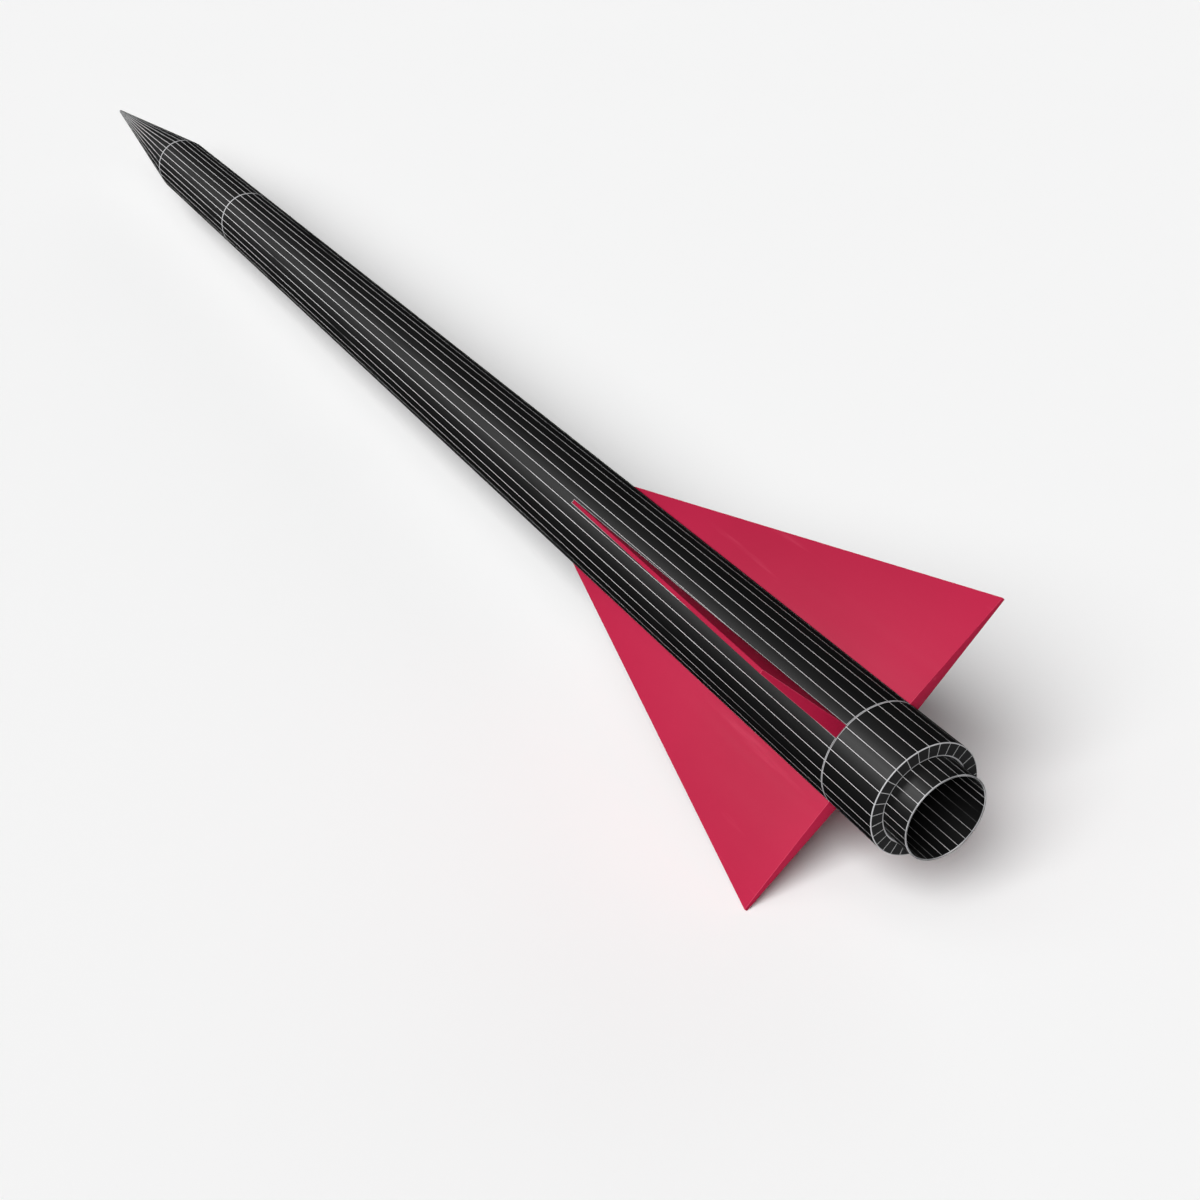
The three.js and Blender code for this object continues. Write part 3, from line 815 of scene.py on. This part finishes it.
def smooth_route(points, steps):
    """A centripetal Catmull-Rom curve through the points, with steps to each span."""
    p = as_path(points)
    p = np.vstack([2 * p[0] - p[1], p, 2 * p[-1] - p[-2]])
    gaps = np.sqrt(np.linalg.norm(np.diff(p, axis=0), axis=1))
    t = np.linspace(0, 1, steps + 1)[:-1, None]
    out = []
    for i in range(1, len(p) - 2):
        before, here, after = gaps[i - 1], gaps[i], gaps[i + 1]
        chord = (p[i + 1] - p[i]) / here
        leave = here * ((p[i] - p[i - 1]) / before - (p[i + 1] - p[i - 1]) / (before + here) + chord)
        arrive = here * (chord - (p[i + 2] - p[i]) / (here + after) + (p[i + 2] - p[i + 1]) / after)
        out.append(
            (2 * t ** 3 - 3 * t ** 2 + 1) * p[i] + (t ** 3 - 2 * t ** 2 + t) * leave
            + (3 * t ** 2 - 2 * t ** 3) * p[i + 1] + (t ** 3 - t ** 2) * arrive)
    return np.vstack(out + [p[-2:-1]])


def frames_along(path, closed=False):
    """Two directions across the path at each of its points, that turn as little as they can."""
    ahead = np.roll(path, -1, axis=0) - np.roll(path, 1, axis=0)
    if not closed:
        ahead[0], ahead[-1] = path[1] - path[0], path[-1] - path[-2]
    ahead /= np.linalg.norm(ahead, axis=1)[:, None]
    least = np.argmin(np.abs(ahead[0]))
    across = np.cross(ahead[0], np.eye(3)[least])
    first = []
    for direction in ahead:
        across = across - direction * np.dot(across, direction)
        across /= np.linalg.norm(across)
        first.append(across)
    first = np.array(first)
    return first, np.cross(ahead, first)


def coil_round(route, start, length, winds, steps, reach, first_turn=0.0):
    """A coil wound round a route. reach gives its radius, from its share of the coil's length."""
    lengths = lengths_along(route)
    u, v = frames_along(route)
    coil = []
    for t in np.linspace(0, 1, steps):
        place = start + length * t
        middle = np.array([np.interp(place, lengths, route[:, k]) for k in range(3)])
        nearest = min(np.searchsorted(lengths, place), len(route) - 1)
        a = first_turn + TAU * winds * t
        coil.append(middle + reach(t) * (u[nearest] * cos(a) + v[nearest] * sin(a)))
    return np.array(coil)


def swept_mesh(path, r, sides, closed=False, round_ends=False):
    """A round tube along a path: vertices, faces and each vertex's turn and length along the path."""
    u, v = frames_along(path, closed)
    lengths = lengths_along(path)
    radii = np.full(len(path), r)
    if round_ends:
        inside = np.clip(1 - np.minimum(lengths, lengths[-1] - lengths) / r, 0, 1)
        radii = r * np.sqrt(np.maximum(1 - inside ** 2, 0.01))
    turns = np.linspace(0, TAU, sides, endpoint=False)
    ring = (np.cos(turns)[None, :, None] * u[:, None, :] + np.sin(turns)[None, :, None] * v[:, None, :])
    vertices = (path[:, None, :] + ring * radii[:, None, None]).reshape(-1, 3)
    where = [(k / sides, length) for length in lengths for k in range(sides)]
    return vertices, ring_faces(len(path), sides, closed), where


def swept(name, parts, slot, body, replaced=()):
    """One piece from swept tubes, with a map that runs round and along each of them."""
    vertices, faces, where = [], [], []
    for more, more_faces, more_where in parts:
        start = len(vertices)
        vertices += [tuple(v) for v in more]
        faces += [tuple(i + start for i in f) for f in more_faces]
        where += more_where
    made = piece(name, vertices, faces, slot, body, replaced, sharp=radians(60))
    layer = made.data.uv_layers.new(name="cord")
    seam = 0.5
    for polygon in made.data.polygons:
        turns = [where[i][0] for i in polygon.vertices]
        wraps = max(turns) - min(turns) > seam
        for loop in polygon.loop_indices:
            turn, length = where[made.data.loops[loop].vertex_index]
            layer.data[loop].uv = (turn + 1 if wraps and turn < seam else turn, length)
    return made


# ---- eye bolts ----

THREAD_PITCH = 0.5 * MM
THREAD_DEPTH = 0.3 * MM
THREAD_SIDES = 32
THREAD_ROWS = 8  # rows of vertices to each turn of the thread
ROD_CHAMFER = 0.35 * MM
EYE_R = 3.4 * MM
EYE_WIRE = 0.9 * MM
EYE_STEPS = 60
FLANGE_T = 1 * MM
FLANGE_R = 2 * BOLT_R
NUT_SIDES = 72
NUT_CHAMFER_START = 1.02  # radius at which a nut's corners are cut, as a share of its half width
NUT_SLOPE = tan(radians(30))
NUT_SINK = 0.15 * MM
NUT_EDGE = 0.02 * MM


def threaded_rod(back, front):
    """A rod with a helical thread and chamfered ends, as (vertices, faces)."""
    rows = int((front - back) / THREAD_PITCH * THREAD_ROWS)
    vertices = []
    for i in range(rows + 1):
        y = back + (front - back) * i / rows
        for k, a in enumerate(full_turn(THREAD_SIDES)):
            wave = 0.5 - 0.5 * cos(TAU * (y / THREAD_PITCH - k / THREAD_SIDES))
            r = min(BOLT_R - THREAD_DEPTH * wave, BOLT_R - ROD_CHAMFER + min(y - back, front - y))
            vertices.append(at_turn(y, a, r))
    return vertices, [f[::-1] for f in ring_faces(rows + 1, THREAD_SIDES)]


def eye_bolt(end, body, towards):
    """A bolt with its thread, its flange and an eye bent from wire that almost closes on itself."""
    node = f"eye_bolt_{end}"
    back, front = span(node)
    eye_tip, rod_tip = (front, back) if towards > 0 else (back, front)
    eye_y = eye_tip - towards * (EYE_R + EYE_WIRE)
    flange_top = eye_y - towards * (EYE_R + EYE_WIRE / 2)
    flange_foot = flange_top - towards * FLANGE_T
    vertices, faces = threaded_rod(min(rod_tip, flange_foot), max(rod_tip, flange_foot))
    bend = as_path(
        on_axis(eye_y + towards * EYE_R * sin(a), EYE_R * cos(a))
        for a in np.linspace(-pi / 2, 1.36 * pi, EYE_STEPS))
    eye = swept_mesh(bend, EYE_WIRE, 24, round_ends=True)
    swept(f"eye_{end}", [(vertices, faces, [(0.0, 0.0)] * len(vertices)), eye], "zinc_steel", body, (node,))
    low, high = sorted((flange_foot, flange_top))
    inner = BOLT_R - THREAD_DEPTH
    turned(f"eye_flange_{end}", [
        (inner, low, 0), (FLANGE_R, low, 0.2 * MM), (FLANGE_R, high, 0.2 * MM), (inner, high, 0),
    ], "zinc_steel", body, sides=SMALL_SIDES)


def hex_nut(name, node, body):
    """A nut with chamfered corners and a countersunk bore."""
    back, front = span(node)
    low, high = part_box(node)
    half_width = (high.z - low.z) / 2
    chamfer_r = half_width * NUT_CHAMFER_START
    bore, sunk = BOLT_R - THREAD_DEPTH / 2, BOLT_R + NUT_SINK
    vertices = []
    for a in full_turn(NUT_SIDES):
        corner = half_width / cos((a + pi / 6) % (pi / 3) - pi / 6)
        shoulder = max(0.0, corner - chamfer_r) * NUT_SLOPE
        section = [
            (bore, back + (sunk - bore)), (sunk, back), (min(corner, chamfer_r), back),
            (corner, back + shoulder + NUT_EDGE), (corner, front - shoulder - NUT_EDGE),
            (min(corner, chamfer_r), front), (sunk, front), (bore, front - (sunk - bore))]
        vertices += [on_axis(y, r * sin(a), r * cos(a)) for r, y in section]
    faces = ring_faces(NUT_SIDES, len(section), closed=True)
    piece(name, vertices, faces, "zinc_steel", body, (node,), sharp=radians(20))


def anchor(end, body, towards):
    """One end's eye bolt, nut and washer. The eye points forwards (+1) or backwards (-1)."""
    eye_bolt(end, body, towards)
    hex_nut(f"nut_{end}", f"eye_nut_{end}", body)
    node = f"eye_washer_{end}"
    tube(f"washer_{end}", node, BOLT_HOLE_R, radius(node), 0.12 * MM, "zinc_steel", body, sides=SMALL_SIDES)


anchor("aft", "airframe", 1)
anchor("fore", "payload_section", -1)


# ---- shock cord ----

CORD_R = 0.6 * MM
CORD_SIDES = 16
CORD_TOP = 9.5 * MM  # height of the cord's run over the parachute
HANK_BACK, HANK_FRONT = SEAM + 310 * MM, SEAM + 366 * MM
HANK_X = [7.5 * MM, 2.5 * MM, -2.5 * MM, -7.5 * MM]
HANK_Z = -5.5 * MM
KNOT_SIDES = 14
KNOT_START, KNOT_LENGTH = 0.5 * MM, 4.4 * MM
KNOT_WINDS, KNOT_STEPS = 3.6, 120
KNOT_R = 1.15 * MM
KNOT_SLACK = 0.03 * MM  # between the eye's wire and the loop round it
TIE_R = 0.28 * MM
TIE_WINDS = 3
TIE_PITCH = 0.62 * MM
TIE_SLACK = 0.35 * MM  # from the cord's side to the middle of the tie
TIE_Y = HANK_BACK + 22 * MM
LEAD_Y = HANK_BACK + 1 * MM  # where the lead to the fore eye leaves the hank


def hank_turn(x0, x1, y, outwards):
    """One turn at an end of the hank, from the run at x0 to the run at x1."""
    middle, r, start = (x0 + x1) / 2, abs(x1 - x0) / 2, copysign(1, x0 - x1)
    return [
        on_axis(y + outwards * r * sin(a), middle + start * r * cos(a), HANK_Z)
        for a in np.linspace(0, pi, 5)]


def cord_route():
    """From the aft eye up over the parachute, down into the flat hank and back to the axis."""
    start = span("eye_bolt_aft")[1] + 0.75 * MM
    chute_back, chute_front = span("parachute")

    def at(y, x, z):
        return on_axis(y, x * MM, z * MM)

    return [
        at(start, 0, 0), at(start + 2.1 * MM, 0, 1.5), at(start + 4.6 * MM, 0, 5),
        at(start + 8.1 * MM, 0, 8.3), at(start + 13.1 * MM, 0, 9.5),
        on_axis((chute_back + chute_front) / 2, 0, CORD_TOP), on_axis(chute_front - 4 * MM, 0, CORD_TOP),
        at(chute_front + 3 * MM, 0.8, 9), at(chute_front + 11 * MM, 3.5, 4),
        at(chute_front + 17 * MM, 6.3, -2.5),
        *hank_turn(HANK_X[0], HANK_X[1], HANK_FRONT, 1),
        *hank_turn(HANK_X[1], HANK_X[2], HANK_BACK, -1),
        *hank_turn(HANK_X[2], HANK_X[3], HANK_FRONT, 1),
        on_axis(HANK_BACK + 4 * MM, HANK_X[3], HANK_Z), at(HANK_BACK - 1.5 * MM, -6.6, -4.6),
        at(HANK_BACK - 3.8 * MM, -4.2, -2.6), at(HANK_BACK - 2.8 * MM, -1.6, -0.8), on_axis(LEAD_Y)]


def knot_bulge(t):
    """A knot's radius at a share of its length, fuller in its middle."""
    return KNOT_R * (0.62 + 0.38 * sin(pi * min(max(t, 0.08), 0.92)))


def knot(end, body, eye_y, towards, route):
    """A loop round the eye's wire, closed by a barrel knot wound on the cord."""
    wire_y = eye_y + towards * EYE_R
    loop_r = EYE_WIRE + CORD_R + KNOT_SLACK
    loop = as_path(on_axis(wire_y + loop_r * cos(a), 0, loop_r * sin(a)) for a in full_turn(32))
    coil = coil_round(route, KNOT_START, KNOT_LENGTH, KNOT_WINDS, KNOT_STEPS, knot_bulge)
    swept(f"cord_knot_{end}", [
        swept_mesh(loop, CORD_R, KNOT_SIDES, closed=True),
        swept_mesh(coil, CORD_R, KNOT_SIDES, round_ends=True)], "cord_aramid", body)


def hank_tie():
    """A thin band wound round the hank's four runs."""
    half_wide, half_high = HANK_X[0] + CORD_R + TIE_SLACK, CORD_R + TIE_SLACK
    straight = half_wide - half_high
    loop = []
    for t in np.linspace(0, TIE_WINDS, 60 * TIE_WINDS + 1):
        a = TAU * t
        x = copysign(straight, cos(a)) * min(1, abs(cos(a)) * 3) + half_high * cos(a)
        z = half_high * max(-1, min(1, 1.4 * sin(a)))
        loop.append(on_axis(TIE_Y + TIE_PITCH * t, x, HANK_Z + z))
    swept("hank_tie", [swept_mesh(as_path(loop), TIE_R, 10, round_ends=True)], "cord_aramid", "airframe")


def shock_cord():
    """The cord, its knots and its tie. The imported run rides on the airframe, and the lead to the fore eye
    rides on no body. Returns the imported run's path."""
    steps = 10
    packed = smooth_route(cord_route() + [on_axis(HANK_BACK + 36 * MM)], steps)[:-steps]
    run = swept_mesh(packed, CORD_R, CORD_SIDES)
    swept("cord_packed", [run], "cord_aramid", "airframe", ("shock_cord",))
    lead_end = span("eye_bolt_fore")[0] - 0.95 * MM
    lead = as_path(on_axis(y) for y in np.linspace(LEAD_Y, lead_end, 60))
    made = swept("cord_lead", [swept_mesh(lead, CORD_R, CORD_SIDES)], "cord_aramid", None)
    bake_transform(made)
    knot("aft", "airframe", span("eye_bolt_aft")[1] - EYE_R - EYE_WIRE, 1, packed)
    knot("fore", "payload_section", span("eye_bolt_fore")[0] + EYE_R + EYE_WIRE, -1, lead[::-1])
    hank_tie()
    return packed


packed_cord = shock_cord()


# ---- parachute and its swivel ----

CHUTE_DROP = 1.6 * MM
CHUTE_R = 8.8 * MM  # outside of the roll, before its creases
CHUTE_CORE = 1.5 * MM
CHUTE_PITCH = 0.36 * MM  # from one layer of the roll to the next
CHUTE_THICK = 0.08 * MM
CHUTE_STEPS = 60  # steps round each turn
CHUTE_ROWS = 60
CHUTE_INSET = 0.8 * MM  # from the node's ends to the roll's
HEM_TURN = radians(55)
LAYER_SHIFT, LAYER_WAVE = 0.45 * MM, 0.2 * MM  # how unevenly the layers lie at the roll's ends
LINES_OFF = radians(137)  # turn about the roll at which the lines leave it for the swivel
LINES_OFF_Y = span("parachute")[1] - 5 * MM
LINE_COUNT = 8
LINE_R = 0.2 * MM
LINE_TURNS = 3
LINE_WIND = 19 * MM  # how far the lines travel along the roll in each turn
LINE_STEPS = 48  # steps round each turn
LINE_SPACE = 2.2 * LINE_R
LINE_SWING, SWING_Y = 0.9, 2.2 * MM  # the last bit of turn, over which the lines swing this far forwards
WAIST_HALF = 2.6 * MM  # half the width of the waist under the lines
WAIST_DEPTH = 0.05  # as a share of the roll's radius
WAIST_FADE = 1.2  # the turn over which it fades at the lines' ends
CREASES = [(0.015, 3, 55, 0), (0.009, 5, -130, 1), (0.006, 11, 260, 0)]  # depth, waves each way, start
swivel_low, swivel_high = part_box("line_swivel")
SWIVEL_X, SWIVEL_Z = (swivel_low.x + swivel_high.x) / 2, (swivel_low.z + swivel_high.z) / 2 - AXIS_Z
LOOP_WIRE = 0.35 * MM
LOOP_R = radius("line_swivel") - LOOP_WIRE
BARREL_LENGTH = 5 * MM
WHIP_R = 0.26 * MM  # of the short line from the swivel to the cord
WHIP_WINDS, WHIP_STEPS = 5, 24  # and steps to each of its winds
WHIP_PITCH = 2.1 * WHIP_R


def on_roll(y, turn, r):
    """A point at a station, a turn about the roll and a distance from its middle."""
    return at_turn(y, turn, r, z=-CHUTE_DROP)


def line_y(turn):
    """Where along the roll the wound lines are at a turn."""
    return LINES_OFF_Y - LINE_WIND * (LINES_OFF - turn) / TAU


def roll_shape(turn, y):
    """The roll's creases and its waist under the lines, as a share of its radius."""
    crease = sum(depth * sin(around * turn + along * y + start) for depth, around, along, start in CREASES)
    waist = 0.0
    latest = LINES_OFF - (LINES_OFF - turn) % TAU
    for wind in range(LINE_TURNS):
        here = latest - TAU * wind
        from_ends = (LINES_OFF - here) / WAIST_FADE, (here - LINES_OFF + TAU * LINE_TURNS) / WAIST_FADE
        along = min(1.0, *from_ends)
        waist += max(0.0, along) * exp(-((y - line_y(here)) / WAIST_HALF) ** 2)
    return 1 + crease - WAIST_DEPTH * min(waist, 1.0)


def sheet_faces(count, row):
    """Both sides of a sheet with count + 1 rows of vertices, and the edges between them."""
    inside = (count + 1) * row
    faces = []
    for i in range(count):
        for j in range(row - 1):
            a, b = i * row + j, (i + 1) * row + j
            faces.append((a, a + 1, b + 1, b))
            faces.append((b + inside, b + 1 + inside, a + 1 + inside, a + inside))
        a, b = i * row, (i + 1) * row
        faces.append((a, b, b + inside, a + inside))
        a, b = a + row - 1, b + row - 1
        faces.append((b, a, a + inside, b + inside))
    for j in range(row - 1):
        faces.append((j + 1, j, j + inside, j + 1 + inside))
        a = count * row + j
        faces.append((a, a + 1, a + 1 + inside, a + inside))
    return faces


def canopy():
    """The canopy, folded lengthwise and rolled up: one sheet on a spiral, with layers at both ends."""
    back, front = span("parachute")
    winds = (CHUTE_R - CHUTE_CORE) / CHUTE_PITCH
    count = int(winds * CHUTE_STEPS)
    vertices, cloth = [], []
    for side in (0.5, -0.5):
        length = 0.0
        for i in range(count + 1):
            wind = i / CHUTE_STEPS
            turn = HEM_TURN - TAU * (winds - wind)
            r = CHUTE_CORE + CHUTE_PITCH * wind
            length += TAU * r / CHUTE_STEPS
            shift = LAYER_SHIFT * sin(2.3 * wind) + LAYER_WAVE * sin(7 * turn)
            for j in range(CHUTE_ROWS + 1):
                y = back + CHUTE_INSET + shift + (front - back - 2 * CHUTE_INSET) * j / CHUTE_ROWS
                vertices.append(on_roll(y, turn, r * roll_shape(turn, y) + side * CHUTE_THICK))
                cloth.append((length, y - back))
    faces = sheet_faces(count, CHUTE_ROWS + 1)
    made = piece("canopy", vertices, faces, "chute_nylon", "airframe", ("parachute",))
    layer = made.data.uv_layers.new(name="cloth")
    for loop in made.data.loops:
        layer.data[loop.index].uv = cloth[loop.vertex_index]


def shroud_lines():
    """The lines, wound side by side round the roll and gathered at the swivel's near loop."""
    loop_y = swivel_low.y + LOOP_WIRE
    parts = []
    for k in range(LINE_COUNT):
        beside = (k - (LINE_COUNT - 1) / 2) * LINE_SPACE
        wound = []
        for turn in np.linspace(LINES_OFF - TAU * LINE_TURNS, LINES_OFF, LINE_STEPS * LINE_TURNS + 1):
            swing = max(0.0, (turn - LINES_OFF) / LINE_SWING + 1) ** 2
            y = line_y(turn) + beside * (1 - 0.4 * swing) + SWING_Y * swing
            wound.append(on_roll(y, turn, CHUTE_R * roll_shape(turn, y) + LINE_R))
        gathered_x = SWIVEL_X + 0.12 * beside
        tail = smooth_route([
            wound[-1],
            on_roll(LINES_OFF_Y + 5.6 * MM, LINES_OFF + 0.08, CHUTE_R - 0.1 * MM + 0.3 * beside),
            on_axis(loop_y - 0.9 * MM, gathered_x, SWIVEL_Z + 0.5 * MM),
            on_axis(loop_y + 0.5 * MM, gathered_x, SWIVEL_Z - 0.1 * MM),
            on_axis(loop_y - 0.3 * MM, gathered_x, SWIVEL_Z - 0.9 * MM)], 6)
        path = np.vstack([as_path(wound[:-1]), tail])
        parts.append(swept_mesh(path, LINE_R, 8, round_ends=True))
    swept("shroud_lines", parts, "cord_aramid", "airframe")


def line_swivel():
    """A barrel with a wire loop in each end."""
    back = swivel_low.y + 2 * (LOOP_R + LOOP_WIRE) - LOOP_WIRE
    front = back + BARREL_LENGTH
    half = [(0, 0, 0), (0.55, 0, 0.1), (0.62, 0.5, 0.15), (1, 1.1, 0.3), (1, 2.1, 0.15), (0.86, 2.3, 0.1)]
    corners = [(share * LOOP_R, back + depth * MM, ease * MM) for share, depth, ease in half]
    corners += [(share * LOOP_R, front - depth * MM, ease * MM) for share, depth, ease in reversed(half)]
    turned("swivel_barrel", corners, "brass", "airframe", ("line_swivel",), closed=False, sides=SMALL_SIDES,
           x=SWIVEL_X, z=SWIVEL_Z)
    parts = []
    for y, way in ((back - LOOP_R, -1), (front + LOOP_R, 1)):
        loop = as_path(
            on_axis(y + way * LOOP_R * cos(a), SWIVEL_X + LOOP_R * sin(a), SWIVEL_Z)
            for a in full_turn(40))
        parts.append(swept_mesh(loop, LOOP_WIRE, 14, closed=True))
    swept("swivel_loops", parts, "brass", "airframe")


def swivel_tie():
    """A short line from the swivel's far loop to the shock cord, whipped round the cord."""
    tip = swivel_high.y - LOOP_WIRE
    wrap_y = tip + 1.2 * MM
    packed = packed_cord[packed_cord[:, 1] < HANK_BACK]
    beside_chute = packed[:, 1] > span("parachute")[1]
    packed = packed[beside_chute & (np.cumsum(packed[:, 1] > wrap_y + 6 * MM) == 0)]
    start = np.interp(wrap_y, packed[:, 1], lengths_along(packed))
    coil = coil_round(packed, start, WHIP_PITCH * WHIP_WINDS, WHIP_WINDS, WHIP_STEPS * WHIP_WINDS,
                      lambda t: CORD_R + WHIP_R, first_turn=pi)
    near = Vector(coil[0])
    through_loop = [
        (-0.7, 0.2, 0.75), (0.1, 0.1, 0.7), (0.7, 0, 0),
        (-0.1, 0, -0.7), (-1.0, 0.3, -0.1), (-0.4, 1.0, 0.9)]
    route = [on_axis(tip + y * MM, SWIVEL_X + x * MM, SWIVEL_Z + z * MM) for y, x, z in through_loop]
    between = route[-1].lerp(near, 0.55) + Vector((0, 0.8 * MM, 0))
    path = np.vstack([smooth_route(route + [between, near], 8)[:-1], coil])
    swept("swivel_tie", [swept_mesh(path, WHIP_R, 10, round_ends=True)], "cord_aramid", "airframe")


canopy()
shroud_lines()
line_swivel()
swivel_tie()


# ---- nose weight and launch lugs ----

WEIGHT_TIP_R = 0.8 * MM
LUG_BORE = 2.0 * MM
BEAD_ON_BODY = radians(10)  # half the bead's spread round the body
BEAD_ON_LUG = radians(48)  # and round the lug
BEAD_SUNK = 0.1 * MM
BEAD_REACH = 1.2 * MM  # beyond each end of the lug
BEAD_WAIST = 0.35 * MM
BEAD_ROWS = 60


def nose_weight():
    """The cast ballast in the cone's tip."""
    back, front = span("nose_ballast")
    r = radius("nose_ballast")
    turned("nose_weight", [
        (0, back, 0), (r, back, 0.4 * MM), (WEIGHT_TIP_R, front, 0.3 * MM), (0, front, 0),
    ], "ballast_metal", "nose", ("nose_ballast",), closed=False, sides=SMALL_SIDES)


def bead_section(y, t, lug_r, lug_z):
    """A ring of the bead at a station, t of the way along it: on the body, down a hollow flank, on the lug
    and back up the other flank."""
    nearest_end = min(t, 1 - t) * BEAD_ROWS / 4
    fade = sqrt(sin(pi * min(max(nearest_end, 0.06), 0.5)))
    wave = 1 + 0.10 * sin(900 * y) + 0.07 * sin(2300 * y + 1)
    on_body, on_lug = BEAD_ON_BODY * fade * wave, BEAD_ON_LUG * fade * wave
    top_r, low_r = BODY_R - BEAD_SUNK, lug_r - BEAD_SUNK
    top = [(top_r * sin(a), -top_r * cos(a)) for a in np.linspace(-on_body, on_body, 5)]
    low = [(low_r * sin(a), lug_z + low_r * cos(a)) for a in np.linspace(on_lug, -on_lug, 5)]
    flank = [
        ((1 - b) * top[-1][0] + b * low[0][0] - BEAD_WAIST * fade * sin(pi * b),
         (1 - b) * top[-1][1] + b * low[0][1]) for b in (0.25, 0.5, 0.75)]
    return [on_axis(y, x, z) for x, z in top + flank + low + [(-x, z) for x, z in reversed(flank)]]


def launch_lug(end):
    """A thin guide tube under the body, bedded in a bead of glue."""
    node = f"launch_lug_{end}"
    back, front = span(node)
    low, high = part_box(node)
    r, z = radius(node), (low.z + high.z) / 2 - AXIS_Z
    tube(f"lug_{end}", node, LUG_BORE, r, 0.1 * MM, "lug_black", sides=SMALL_SIDES, z=z)
    rings = []
    for i in range(BEAD_ROWS + 1):
        t = i / BEAD_ROWS
        rings.append(bead_section(back - BEAD_REACH + (front - back + 2 * BEAD_REACH) * t, t, r, z))
    vertices = [v for ring in rings for v in ring]
    faces = ring_faces(len(rings), len(rings[0]))
    piece(f"lug_bead_{end}", vertices, faces, "lug_black", "airframe", sharp=radians(50))


nose_weight()
launch_lug("aft")
launch_lug("fore")


# ---- floor and light ----

FLOOR_HALF = 30.0
FLOOR_TONES = (0.922, 0.922, 0.922, 1), (0.932, 0.932, 0.932, 1)
WORLD_GREY = (0.90, 0.90, 0.90, 1)


def paper_floor():
    """A wide pale floor under the rocket, which its black tubes don't mirror."""
    look = Look("floor", 0.95, 0)
    look.colour(look.mix(look.noise(3), *FLOOR_TONES))
    mesh = bpy.data.meshes.new("floor")
    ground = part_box("fin_lower_left")[0].z
    corners = [(x * FLOOR_HALF, y * FLOOR_HALF, ground) for x, y in ((-1, -1), (1, -1), (1, 1), (-1, 1))]
    mesh.from_pydata(corners, [], [(0, 1, 2, 3)])
    mesh.materials.append(look.material)
    floor = bpy.data.objects.new("floor", mesh)
    scene.collection.objects.link(floor)
    floor.visible_glossy = False


def soft_sun(name, towards, spread, strength, matte=True, gloss=True):
    """A wide distant light from a direction. Without matte it only makes highlights, without gloss none."""
    light = bpy.data.lights.new(name, "SUN")
    light.angle = radians(spread)
    light.energy = strength * pi
    lamp = bpy.data.objects.new(name, light)
    lamp.rotation_euler = Vector(towards).to_track_quat("Z", "Y").to_euler()
    lamp.visible_diffuse = matte
    lamp.visible_glossy = gloss
    scene.collection.objects.link(lamp)
    return lamp


def pass_fins(lamp):
    """Lets a light pass the fins, so that they throw no shadow in it."""
    blockers = bpy.data.collections.new("blockers")
    for made in scene.collection.objects:
        if made.type == "MESH" and not made.name.startswith("blade_"):
            blockers.objects.link(made)
    lamp.light_linking.blocker_collection = blockers


def lights():
    """A main light from high on the left, a wide fill overhead, a weak low light from the right, and one
    from the front left that passes the fins and only makes the long highlight on the tubes."""
    world = bpy.data.worlds.new("studio")
    scene.world = world
    world.use_nodes = True
    background = world.node_tree.nodes["Background"].inputs
    background["Color"].default_value = WORLD_GREY
    background["Strength"].default_value = 1.0
    world.cycles_visibility.diffuse = False
    world.cycles_visibility.glossy = False
    soft_sun("main", (-1, -0.6, 1), 40, 1.18)
    soft_sun("fill", (-0.7, -0.2, 1), 70, 0.22)
    soft_sun("right", (1, 0.6, 0.25), 60, 0.16, gloss=False)
    pass_fins(soft_sun("front", (-0.476, 0.37, 0.429), 24, 0.84, matte=False))


paper_floor()
lights()
scene.view_settings.view_transform = "Standard"
